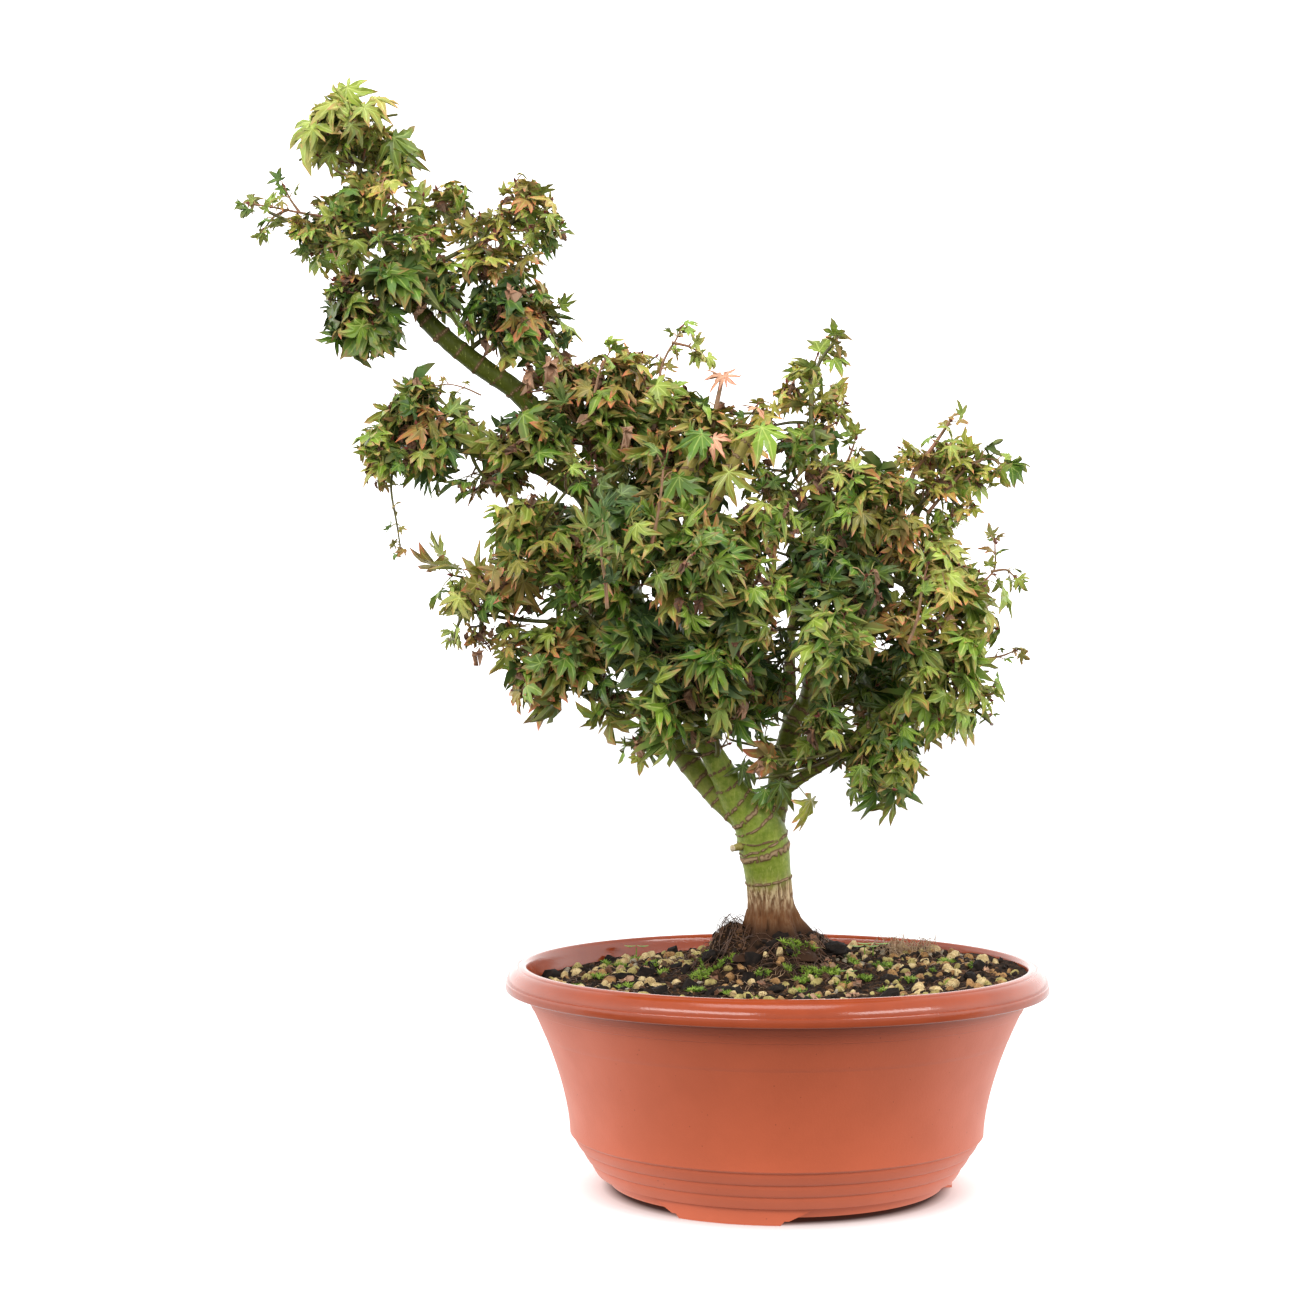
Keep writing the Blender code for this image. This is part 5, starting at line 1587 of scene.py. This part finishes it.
limbs_by_name = coarse_limbs()
for index, (name, (bearer, centre, radii, fill, filled, clumps)) in enumerate(MASSES.items()):
    crown_part = "upper" if name in UPPER_CROWN else "back" if "back" in name else "front"
    mass_rng = random.Random(SEED + index)
    stem = stem_line(bearer, Space(centre, radii, MASS_GROWTH), limbs_by_name)
    wood_lines["green"].append(([point for point, _, _ in stem], *STEM_RADII))
    if fill:
        room = Space(centre, radii, filled)
        grow_twigs(room, stem, FILL_NODES, GROWTH[fill], mass_rng)
    for *clump_centre, across, deep, high, kind in clumps:
        clump = Space(clump_centre, (across, deep, high))
        branch = branch_line(stem, clump)
        wood_lines["green"].append(([point for point, _, _ in branch], *BRANCH_RADII))
        grow_twigs(clump, branch, BRANCH_NODES, GROWTH[kind], mass_rng)

# Single shoots: thin shoots that stand out of the crown against the sky, with small leaves in
# pairs. Each is given by its depth, its line as it is seen from the front, and its leaves.
SHOOTS = [
    # depth, line of (across, height), wood, its thickness at the root, narrowest and widest
    # leaf, form, colours
    (-2, [(-239, 534), (-252, 537), (-264, 539), (-279, 542), (-291, 544)], "red", 0.95, 7, 13,
     "small", ("mid", "bronze", "light")),
    (-2, [(-264, 539), (-269, 546), (-272, 552)], "red", 0.95, 8, 13, "small", ("mid", "light")),
    (-2, [(-270, 541), (-278, 537), (-283, 531)], "red", 0.95, 9, 14, "small", ("mid", "light")),
    (-8, [(-64, 440), (-64, 451), (-60, 461), (-56, 467), (-53, 473)], "red", 0.95, 8, 13,
     "small", ("bronze", "light")),
    (-10, [(-58, 466), (-49, 464), (-45, 462)], "red", 0.95, 8, 13, "small", ("bronze", "lime")),
    (-14, [(20, 397), (19.5, 413), (18.4, 430), (20, 445), (24, 456), (31, 465)],
     "green", 1.9, 12, 20, "small", ("lime", "light", "bronze")),
    (0, [(38, 397), (42, 407), (44, 413)], "red", 0.95, 8, 15, "small", ("bronze", "light")),
    (-10, [(72, 385), (77, 397), (85.5, 408), (95, 422)], "red", 1.8, 8, 14, "small",
     ("bronze", "light")),
    (-10, [(83, 372), (94, 385), (105, 397), (116, 402), (124, 399)], "red", 1.2, 11, 18,
     "small", ("light", "mid")),
    (-4, [(83, 302), (99, 319), (110.5, 331), (120.5, 341), (121, 355)], "red", 0.95, 9, 13,
     "small", ("light", "bronze")),
    (-4, [(119, 340), (127, 341), (131, 338)], "red", 0.95, 10, 15, "small", ("mid", "light")),
    (0, [(110.5, 291), (124, 293), (131, 295.5)], "red", 0.95, 7, 11, "small", ("light", "bronze")),
    (0, [(-153, 324), (-162, 330), (-171, 336), (-179, 338)], "green", 1.3, 17, 27, "narrow",
     ("mid", "light", "bronze")),
    (-92, [(-92, 318), (-93, 332), (-95, 346), (-94, 360)], "red", 1.2, 16, 24, "narrow",
     ("mid", "blue")),
    (-84, [(-69, 352), (-66, 366), (-64, 380), (-63, 391)], "red", 1.1, 10, 18, "small",
     ("mid", "bronze")),
    (-70, [(66, 300), (71, 314), (73, 328), (76, 341)], "red", 1, 10, 18, "small",
     ("light", "bronze")),
    (-30, [(-100, 436), (-97, 448), (-92, 458)], "red", 0.9, 9, 15, "small", ("bronze", "light")),
    (-14, [(-211, 399), (-212, 384), (-209, 366), (-207, 353)], "green", 0.9, 6, 9, "small",
     ("mid", "bronze")),
    (-10, [(-163, 437), (-172, 441), (-181, 443), (-190, 442)], "red", 0.6, 6, 10, "small",
     ("bronze", "blush")),
]
SHOOT_NODE_SPACING = 9 * MM
shoot_rng = random.Random(404)
crown_part = "front"
for depth, line, wood, thick, narrowest, widest, form, colours in SHOOTS:
    points = [station[0] for station in smooth_line(
        [(across, depth, height, 0.8) for across, height in line], 5)]
    wood_lines[wood].append((points, thick * MM, 0.5 * thick * MM))
    recipe = (form, narrowest, widest, 0.35, 0.0, 0.0, {name: 1 for name in colours})
    travelled = 0.0
    side = Vector((0.0, 1.0, 0.0))
    for before, after in zip(points, points[1:]):
        travelled += (after - before).length
        if travelled < SHOOT_NODE_SPACING and after is not points[-1]:
            continue
        travelled = 0.0
        axis = (after - before).normalized()
        side = square_to(side, axis)
        side = turn_about(side, axis, 0.5 * pi + shoot_rng.uniform(-0.4, 0.4))
        grow_pair(after, axis, side, axis, recipe, shoot_rng, shoot_rng.choice(colours),
                  wood == "red", None)
    bud_places.append((points[-1] + axis * 0.3 * MM, axis, 1.6))
    grow_leaf(points[-1], axis, axis, recipe[:4], shoot_rng, shoot_rng.choice(colours),
              wood == "red", None)

# Single leaves: the long leaves that spread from the tip of the crown, some that hang low or
# stand out in front, the dry ones that catch the eye, and two pink young pairs, one on a stem.
SINGLE_LEAVES = [
    # foot of the stalk, hub of the blade, way of its middle lobe, its face, length, colour
    ((-238, -4, 592), (-240.6, -8, 601), (0.15, -0.1, 1), (0, -1, 0.3), 11.5, "lime"),
    ((-238, -4, 588), (-243.4, -24, 594), (-0.1, -0.4, -0.9), (0, -1, 0.3), 18, "lime"),
    ((-242, -4, 580), (-254.5, -20, 585), (-0.45, -0.2, -0.87), (-0.4, -0.8, 0.4), 27, "lime"),
    ((-234, -4, 590), (-221.5, -16, 599), (0.85, -0.2, -0.12), (0.1, -0.7, 0.7), 17, "lime"),
    ((-232, -4, 588), (-226, -24, 593), (0.75, -0.3, -0.55), (0.2, -0.8, 0.5), 19, "light"),
    ((-230, -2, 572), (-211, -14, 577), (0.6, -0.1, -0.8), (-0.3, -0.8, 0.4), 24, "mid"),
    ((-236, -2, 566), (-245, -16, 569), (-0.15, -0.3, -0.94), (0.1, -1, 0.2), 13, "mid"),
    ((-236, -4, 578), (-232, -26, 583), (0.1, -0.35, -0.9), (0.2, -1, 0.3), 14, "mid"),
    ((6, 0, 226), (18.2, -8, 213.5), (-0.15, -0.1, -1), (0.8, -0.6, 0.1), 22, "blush"),
    ((2, -4, 226), (1, -15, 223), (0.05, -0.35, -1), (0, -1, 0.35), 17, "dark"),
    ((-2, -4, 224), (-6.5, -15, 219.5), (-0.2, -0.3, -1), (0.2, -1, 0.3), 14, "mid"),
    ((-2, -4, 222), (-5.5, -12, 215.5), (0.1, -0.3, -1), (0.3, -1, 0.3), 8, "lime"),
    ((-14, 0, 240), (-20, -12, 233), (0.3, -0.2, -0.9), (0.1, -1, 0.3), 15, "dark"),
    ((-34, -30, 424), (-31.4, -31, 443.5), (-0.8, -0.4, 0.2), (0.1, -0.8, 0.6), 12, "salmon"),
    ((-34, -30, 424), (-30.2, -31, 443.5), (0.8, -0.4, 0.15), (-0.1, -0.8, 0.6), 11, "salmon"),
    ((-40, -50, 404), (-36.7, -58, 409.5), (0.35, -0.4, -0.55), (0, -1, 0.35), 14, "salmon"),
    ((-15, -22, 420), (-11.4, -26, 427.5), (-0.3, -0.5, 0.1), (0, -0.6, 0.8), 11, "salmon"),
    ((-197, -8, 430), (-198, -12, 440), (0.1, -0.2, 1), (0.3, -1, 0.1), 14, "dry_tan"),
    ((-221, -6, 474), (-221, -10, 466), (0.05, -0.1, -1), (0.3, -1, 0.1), 13, "dry_brown"),
    ((-194, -6, 492), (-196, -15, 487), (-0.3, -0.3, -0.9), (0.1, -1, 0.3), 14, "dry_tan"),
    ((-146, -8, 500), (-146, -20, 494), (0.02, -0.2, -1), (0.3, -1, 0.1), 18, "dry_tan"),
    ((-126, -6, 458), (-125, -18, 453), (0.2, -0.2, -1), (0.5, -1, 0.1), 22, "dry_tan"),
    ((-160, -2, 302), (-166, -8, 297), (0.02, -0.1, -1), (0.3, -1, 0.1), 14, "dry_tan"),
    ((-218, -12, 402), (-222, -18, 397), (-0.2, -0.2, -1), (0.2, -1, 0.2), 15, "dry_tan"),
    ((-84, -46, 420), (-82.7, -58, 414), (0.1, -0.3, -1), (0.4, -1, 0.1), 17, "dry_tan"),
    ((10, -14, 388), (10.2, -28, 383), (0.3, -0.4, -0.8), (0.1, -1, 0.3), 16, "dry_brown"),
    ((-58, -52, 392), (-55, -63, 387.5), (0.15, -0.1, -1), (0.1, -1, 0.2), 22, "mid"),
    ((-15, -48, 410), (-11.6, -60, 414.6), (0.45, -0.5, -0.75), (0.1, -0.7, 0.7), 24, "light"),
    ((-30, -54, 371), (-31.7, -66, 365), (0.1, -0.3, -1), (0.1, -1, 0.3), 22, "mid"),
    ((-26, -54, 396), (-28, -62, 391), (0, -0.2, -1), (-0.2, -1, 0.2), 21, "light"),
    ((-38, -46, 410), (-43, -58, 411), (-0.5, -0.3, -0.8), (-0.2, -1, 0.3), 19, "mid"),
    ((48, -8, 376), (50, -22, 372), (0.7, -0.3, -0.6), (0.1, -1, 0.3), 14, "dry_brown"),
]
SALMON_STEM = [(-36.5, -32, 415, 1.7), (-34.5, -31.5, 426, 1.5), (-31, -31, 443, 1.2)]
salmon_stem = [station[0] for station in smooth_line(SALMON_STEM, 5)]
wood_lines["red"].append((salmon_stem, 1.7 * MM, 1.2 * MM))
for foot, hub, ahead, face, length, colour in SINGLE_LEAVES:
    crown_part = "upper" if hub[2] > 500 else "front"
    foot, hub = Vector(foot) * MM, Vector(hub) * MM
    ahead = Vector(ahead).normalized()
    face = square_to(Vector(face), ahead)
    stalk_lines["green"].append(([foot, foot.lerp(hub, 0.5) + UP * 1.5 * MM, hub], *STALK_RADII))
    form = "dry" if colour.startswith("dry") else "narrow"
    leaf_places.setdefault((colour, crown_part), []).append((
        hub, facing(ahead, face), length * MM,
        blade_number(form, shoot_rng.randrange(FORM_VARIANTS)), shoot_rng.random()))


def strand_tree():
    """Round rods along lines: each point's thickness is its own value."""
    tree, start, end = making_tree("rods_on_lines", [("Sides", "Int"), ("Finish", "Material")])
    line = node(tree, "GeometryNodeMeshToCurve", {"Mesh": start.outputs["Start"]})
    ring = node(tree, "GeometryNodeCurvePrimitiveCircle", {
        "Resolution": start.outputs["Sides"], 4: 1.0})
    thickness = node(tree, "GeometryNodeInputNamedAttribute", {"Name": "thickness"},
                     data_type="FLOAT")
    rods = node(tree, "GeometryNodeCurveToMesh", {
        "Curve": line.outputs["Curve"], "Profile Curve": ring.outputs["Curve"],
        "Scale": thickness.outputs["Attribute"], "Fill Caps": True})
    smooth = node(tree, "GeometryNodeSetShadeSmooth", {"Geometry": rods.outputs["Mesh"]})
    return finished(tree, start, end, smooth.outputs[0])


def lines_to_mesh(lines):
    """Edges along every line, with the thickness that tapers from its root to its tip."""
    places, edges, thickness = [], [], []
    for points, thick, thin in lines:
        for index, point in enumerate(points):
            if index:
                edges.append((len(places) - 1, len(places)))
            places.append(point)
            thickness.append(thick + (thin - thick) * index / (len(points) - 1))
    return plain_mesh("lines", places, edges, [], [("thickness", "FLOAT", thickness)])


def twig_finish(name, tints, patches=140.0):
    return mottled_finish(name, tints, patches, 0.2, 0.5, 0.5, (0.3, 0.3 * MM))


rods_on_lines = strand_tree()
mass_nodes = ["foliage_" + name for name in MASSES]
RODS = {
    "twigs_green": (wood_lines["green"], 6, ((0.16, 0.17, 0.035), (0.07, 0.055, 0.018))),
    "twigs_red": (wood_lines["red"], 6, ((0.34, 0.150, 0.085), (0.20, 0.120, 0.050))),
    "stalks_green": (stalk_lines["green"], 3, ((0.36, 0.38, 0.11), (0.26, 0.20, 0.07))),
    "stalks_red": (stalk_lines["red"], 3, ((0.48, 0.24, 0.14), (0.36, 0.27, 0.10))),
}
for name, (lines, sides, tints) in RODS.items():
    rods = made_by(rods_on_lines, lines_to_mesh(lines), {
        "Sides": sides, "Finish": twig_finish(name, tints)})
    settle(name, rods, mass_nodes)

# Roots and litter: fine brown roots and straw that lie on the soil and hang from the heap at the
# foot of the trunk, a tuft of pale dead roots at the right, and dry bits of fallen leaves.
FIBRES = {
    # places (across, depth, reach), number and greatest rise above the soil of each kind
    "root_fibres": ((((-27, 6, 15), 60, 7.0), ((0, -8, 26), 80, 4.0), ((26, 6, 13), 30, 5.0),
                     ((-58, 68, 12), 25, 3.0), ((0, 0, 125), 260, 1.8)),
                    ((0.15, 0.070, 0.035), (0.07, 0.035, 0.020))),
    "straw_fibres": ((((83, 80, 17), 130, 10.0), ((-15, -37, 12), 22, 2.0), ((0, 0, 125), 80, 2.0)),
                     ((0.46, 0.30, 0.17), (0.28, 0.17, 0.09))),
}
FIBRE_LENGTH = (7 * MM, 22 * MM)
FIBRE_RADII = (0.24 * MM, 0.12 * MM)
FIBRE_STEPS = 6
LITTER = 46
LITTER_SIZE = (6 * MM, 11 * MM)
fibre_rng = random.Random(31)


def soil_spot(across, depth, reach):
    """Random place on the soil, inside the bowl and outside the trunk."""
    while True:
        turn = fibre_rng.uniform(0.0, tau)
        away = reach * MM * sqrt(fibre_rng.random())
        spot = Vector((across * MM + away * cos(turn), depth * MM + away * sin(turn)))
        if spot.length < STONE_REACH and (spot - TRUNK_FOOT).length > 0.8 * TRUNK_CLEAR:
            return spot


def fibre(place, rise):
    """One fine root that lies along the soil and arches up to its rise."""
    spot = soil_spot(*place)
    turn = fibre_rng.uniform(0.0, tau)
    length = fibre_rng.uniform(*FIBRE_LENGTH)
    arch = fibre_rng.uniform(0.2, rise) * MM
    points = []
    for step in range(FIBRE_STEPS + 1):
        level = crumbly_height(spot.x, spot.y)
        lift = arch * sin(pi * step / FIBRE_STEPS)
        points.append(Vector((spot.x, spot.y, level + lift)))
        turn += fibre_rng.uniform(-0.6, 0.6)
        after = spot + Vector((cos(turn), sin(turn))) * length / FIBRE_STEPS
        if after.length < STONE_REACH:
            spot = after
    return points


for name, (patches, tints) in FIBRES.items():
    fibres = [(fibre(place, rise), *FIBRE_RADII)
              for place, count, rise in patches for _ in range(count)]
    fibre_mesh = made_by(rods_on_lines, lines_to_mesh(fibres), {
        "Sides": 3, "Finish": twig_finish(name, tints)})
    settle(name, fibre_mesh, [])
for _ in range(LITTER):
    spot = soil_spot(0.0, 0.0, 125.0)
    turn = fibre_rng.uniform(0.0, tau)
    ahead = Vector((cos(turn), sin(turn), fibre_rng.uniform(-0.2, 0.4))).normalized()
    face = Vector((fibre_rng.uniform(-0.5, 0.5), fibre_rng.uniform(-0.8, 0.2), 1.0))
    face = square_to(face, ahead)
    place = Vector((spot.x, spot.y, crumbly_height(spot.x, spot.y) + 1.2 * MM))
    leaf_places.setdefault((fibre_rng.choice(("dry_tan", "dry_brown")), "litter"), []).append((
        place, facing(ahead, face), fibre_rng.uniform(*LITTER_SIZE),
        blade_number("dry", fibre_rng.randrange(FORM_VARIANTS)), fibre_rng.random()))

# Leaves: flat blades of five to seven pointed lobes, toothed at their edges and folded along
# each midrib, with hanging tips. Dry leaves have curled up and hang on. Each colour is a piece
# of its own, and every leaf is one of a few blades, turned, scaled and crinkled by its place.
LOBES = {
    # angle of each lobe from the middle one, its length and its half width
    "broad": [(0, 1.0, 0.185), (40, 0.92, 0.175), (84, 0.68, 0.15), (130, 0.36, 0.09)],
    "narrow": [(0, 1.0, 0.130), (38, 0.92, 0.125), (82, 0.66, 0.105), (128, 0.32, 0.06)],
    "small": [(0, 1.0, 0.190), (46, 0.86, 0.175), (100, 0.56, 0.135)],
    "dry": [(0, 1.0, 0.13), (38, 0.90, 0.13), (82, 0.66, 0.12)],
}
BASAL_ANGLE = 110
# sinus radius, fold of the lobes, droop of the tips, cup across, thickness at the middle
BLADES = {
    "broad": (0.39, 0.34, 0.26, 0.10, 0.014),
    "narrow": (0.29, 0.38, 0.36, 0.10, 0.014),
    "small": (0.40, 0.36, 0.28, 0.12, 0.018),
    "dry": (0.40, 0.60, 0.30, 0.30, 0.020),
}
LOBE_DROOP = 0.24
LOBE_SWEEP = 0.35
RUFFLE = 0.035
DRY_ROLL = 0.20
LEAF_SHINE = 0.35
UNDERSIDE_DOWN = (0.18, 0.24, 0.18)
# depth of the crinkles, and how many there are in a metre
CRINKLES = {"fresh": (6.5 * MM, 85.0), "dry": (9 * MM, 150.0)}
LEAF_COLOURS = {
    # blade, its margin and tips, and its vein
    "dark": ((0.050, 0.112, 0.014), (0.130, 0.120, 0.025), (0.18, 0.27, 0.06)),
    "mid": ((0.100, 0.200, 0.020), (0.285, 0.160, 0.050), (0.31, 0.41, 0.09)),
    "light": ((0.212, 0.335, 0.034), (0.460, 0.235, 0.085), (0.46, 0.55, 0.13)),
    "lime": ((0.370, 0.468, 0.072), (0.560, 0.310, 0.130), (0.58, 0.64, 0.20)),
    "blue": ((0.064, 0.122, 0.030), (0.130, 0.150, 0.038), (0.22, 0.31, 0.10)),
    "bronze": ((0.240, 0.225, 0.036), (0.590, 0.165, 0.085), (0.46, 0.38, 0.10)),
    "blush": ((0.370, 0.400, 0.050), (0.730, 0.240, 0.120), (0.66, 0.56, 0.18)),
    "salmon": ((0.640, 0.320, 0.190), (0.640, 0.210, 0.140), (0.70, 0.46, 0.28)),
    "dry_tan": ((0.440, 0.240, 0.145), (0.270, 0.125, 0.070), (0.52, 0.33, 0.20)),
    "dry_brown": ((0.205, 0.094, 0.052), (0.115, 0.050, 0.028), (0.30, 0.15, 0.085)),
}


def leaf_blade(form, rng):
    """Closed blade of one form, a little uneven, with its stalk's end at the origin."""
    sinus, fold, droop, cup, thickness = BLADES[form]
    lobes = []
    for angle, length, width in LOBES[form]:
        for sense in ((-1, 1) if angle else (1,)):
            lobes.append((
                radians(sense * angle + rng.uniform(-7.0, 7.0)),
                length * rng.uniform(0.82, 1.08), width * rng.uniform(0.85, 1.15),
                max(0.03, droop + rng.uniform(-LOBE_DROOP, LOBE_DROOP)),
                rng.uniform(-LOBE_SWEEP, LOBE_SWEEP), angle > BASAL_ANGLE))
    lobes.sort()
    twist = rng.uniform(-0.3, 0.3)
    curl_place = rng.uniform(0.0, 50.0)
    shape = bmesh.new()
    rib = shape.verts.layers.float.new("rib")
    margin = shape.verts.layers.float.new("margin")
    under = shape.faces.layers.float.new("underside")

    def vert(place, lift, sag, rib_share, margin_share):
        """Point of the blade with its droop, cup, twist and, on a dry leaf, its roll."""
        x, y = place
        z = lift - sag * (x * x + y * y) - cup * x * x + twist * x * y * 0.5
        if form == "dry":
            z += 0.05 * noise(Vector((x * 4.0, y * 4.0, curl_place)))
            x, z = (DRY_ROLL + z) * sin(x / DRY_ROLL * 0.8), (
                (DRY_ROLL + z) * cos(x / DRY_ROLL * 0.8) - DRY_ROLL)
            y, z = (0.4 - z) * sin(y / 0.4 * 0.8), (0.4 - z) * cos(y / 0.4 * 0.8) - 0.4
        made = shape.verts.new((x, y, z))
        made[rib] = rib_share
        made[margin] = margin_share
        return made

    def at(angle, distance, sideways=0.0, sweep=0.0):
        turned_by = angle + sweep * distance * distance
        ahead = Vector((sin(turned_by), cos(turned_by)))
        return ahead * distance + Vector((ahead.y, -ahead.x)) * sideways

    base = vert((0.0, -0.04), 0.0, 0.0, 0.6, 0.0)
    sinuses = [base]
    for first, second in zip(lobes, lobes[1:]):
        reach = sinus * min(first[1], second[1]) * rng.uniform(0.8, 1.15)
        lift = fold * 0.30 * (second[0] - first[0]) * reach
        sinuses.append(vert(at(0.5 * (first[0] + second[0]), reach), lift,
                            0.5 * (first[3] + second[3]), 0.0, 0.2))
    sinuses.append(base)
    hubs = [vert((0.0, 0.0), 0.5 * thickness * sense, 0.0, 1.0, 0.0) for sense in (1.0, -1.0)]
    for index, (angle, length, width, sag, sweep, basal) in enumerate(lobes):
        tip = vert(at(angle, length, 0.0, sweep), 0.0, sag, 0.7, 1.0)
        teeth = ((0.50, 1.0, 0.55), (0.64, 0.60, 0.45), (0.79, 0.58, 0.8))[:1 if basal else 3]
        ribs = [
            vert(at(angle, length * share, 0.0, sweep), 0.5 * thickness * (1.0 - share), sag,
                 1.0, 0.3 * share)
            for share in ((0.5,) if basal else (0.40, 0.70))]
        for sense, gap in ((-1.0, sinuses[index]), (1.0, sinuses[index + 1])):
            rim = [
                vert(at(angle, length * share * rng.uniform(0.95, 1.05), sense * width * reach,
                        sweep), fold * width * reach + rng.uniform(-RUFFLE, RUFFLE), sag, 0.0,
                     margin_share)
                for share, reach, margin_share in teeth]
            above = [(hubs[0], gap, rim[0], ribs[0])]
            above += [(ribs[step], rim[step], rim[step + 1],
                       ribs[step + 1] if step + 1 < len(ribs) else tip)
                      for step in range(len(rim) - 1)]
            if basal:
                above.append((ribs[0], rim[0], tip))
            for side, loops in enumerate((above, [(hubs[1], gap, *rim, tip)])):
                for loop in loops:
                    order = loop if (sense < 0) == (side == 0) else tuple(reversed(loop))
                    shape.faces.new(order)[under] = float(side)
    bmesh.ops.triangulate(shape, faces=[face for face in shape.faces if len(face.verts) > 3])
    shape.normal_update()
    return shape


def leaf_tree():
    """Leaves on points: each point has its blade's number, its turn, its size and its tint."""
    tree, start, end = making_tree("leaves_on_points", [
        ("Blades", "Collection"), ("Crinkle", "Float"), ("Crinkles Per Metre", "Float"),
        ("Finish", "Material")])
    blades = node(tree, "GeometryNodeCollectionInfo", {
        "Collection": start.outputs["Blades"], "Separate Children": True,
        "Reset Children": True})
    values = {}
    for name, kind in (("blade", "INT"), ("turn", "FLOAT_VECTOR"), ("size", "FLOAT")):
        values[name] = node(tree, "GeometryNodeInputNamedAttribute", {"Name": name},
                            data_type=kind).outputs["Attribute"]
    rotation = node(tree, "FunctionNodeEulerToRotation", {"Euler": values["turn"]})
    leaves = node(tree, "GeometryNodeInstanceOnPoints", {
        "Points": start.outputs["Start"], "Instance": blades.outputs["Instances"],
        "Pick Instance": True, "Instance Index": values["blade"],
        "Rotation": rotation.outputs[0], "Scale": values["size"]})
    crinkled = knocked(tree, leaves.outputs[0], start.outputs["Crinkles Per Metre"],
                       start.outputs["Crinkle"])
    return finished(tree, start, end, crinkled)


def points_to_mesh(leaves):
    places, turns, sizes, blades, tints = zip(*leaves)
    return plain_mesh("points", places, [], [], [
        ("blade", "INT", blades),
        ("size", "FLOAT", sizes), ("tint", "FLOAT", tints),
        ("turn", "FLOAT_VECTOR", [part for turn in turns for part in turn])])


def leaf_finish(name, blade, margin_colour, vein, roughness):
    """Waxy leaf: paler below, lighter along its veins, tinted at its margin and tips."""
    made, tree, shader = plain_material(name, blade, roughness, LEAF_SHINE)
    rib, margin, underside, tint = point_values(tree, "rib", "margin", "underside", "tint")
    sunny, shady = [tuple(factor * part for part in blade) for factor in (1.15, 0.72)]
    green = mottled(tree, sunny, shady, 85.0)
    between = tuple(0.5 * (one + other) for one, other in zip(blade, margin_colour))
    colour = blend_colours(tree, remap(tree, tint, 0.40, 1.0, 0.0, 0.75), green["Colour"], between)
    edge_from = remap(tree, tint, 0.0, 1.0, 0.55, 0.05)
    edge = remap(tree, margin, edge_from, 0.90, 0.0, 0.85, True)
    colour = blend_colours(tree, edge, colour, margin_colour)
    colour = blend_colours(tree, remap(tree, rib, 0.72, 0.96, 0.0, 0.80, True), colour, vein)
    pale = tuple(0.72 * part + 0.28 * down for part, down in zip(blade, UNDERSIDE_DOWN))
    colour = blend_colours(tree, maths(tree, "MULTIPLY", underside, 0.6), colour, pale)
    rough = remap(tree, underside, 0.0, 1.0, roughness, 0.75)
    dress(tree, shader, colour, rough, green["Height"], (0.25, 0.6 * MM))
    return made


blade_rng = random.Random(5)
blades = bpy.data.collections.new("blades")
for form in LEAF_FORMS:
    for variant in range(FORM_VARIANTS):
        name = f"blade_{blade_number(form, variant):02d}"
        blades.objects.link(bpy.data.objects.new(name, to_mesh(name, leaf_blade(form, blade_rng))))
leaves_on_points = leaf_tree()
leaf_finishes = {
    colour: leaf_finish("leaf_" + colour, *tints, 0.8 if colour.startswith("dry") else 0.36)
    for colour, tints in LEAF_COLOURS.items()}
for (colour, part), leaves in leaf_places.items():
    crinkle, per_metre = CRINKLES["dry" if colour.startswith("dry") else "fresh"]
    leaf_mesh = made_by(leaves_on_points, points_to_mesh(leaves), {
        "Blades": blades, "Crinkle": crinkle, "Crinkles Per Metre": per_metre,
        "Finish": leaf_finishes[colour]})
    settle(f"leaves_{colour}_{part}", leaf_mesh, [] if part == "litter" else mass_nodes,
           smooth_below=24.0)
for blade in list(blades.objects):
    bpy.data.objects.remove(blade, do_unlink=True)
bpy.data.collections.remove(blades)

# Buds: small red-brown buds of hard scales, in pairs at the nodes between a leaf's stalk and its
# twig, and one at the end of most shoots. Each is a pointed egg along its own direction.
BUD_LENGTH = 1.3 * MM
BUD_WIDTH = 0.75 * MM
BUD_SIDES = 5


def buds_mesh(places):
    points, faces = [], []
    for root, heading, size in places:
        start = len(points)
        side = heading.orthogonal().normalized()
        other = heading.cross(side)
        points.append(root - heading * 0.4 * BUD_LENGTH)
        points.append(root + heading * BUD_LENGTH * size * 2.0)
        for corner in range(BUD_SIDES):
            angle = tau * corner / BUD_SIDES
            points.append(root + heading * BUD_LENGTH * size * 0.6 + size * BUD_WIDTH
                          * (side * cos(angle) + other * sin(angle)))
        for corner in range(BUD_SIDES):
            here, after = start + 2 + corner, start + 2 + (corner + 1) % BUD_SIDES
            faces.append((after, here, start))
            faces.append((here, after, start + 1))
    return plain_mesh("buds", points, [], faces)


settle("buds", buds_mesh(bud_places), [], 60.0,
       twig_finish("bud_red", ((0.24, 0.045, 0.035), (0.12, 0.035, 0.020)), 300.0))
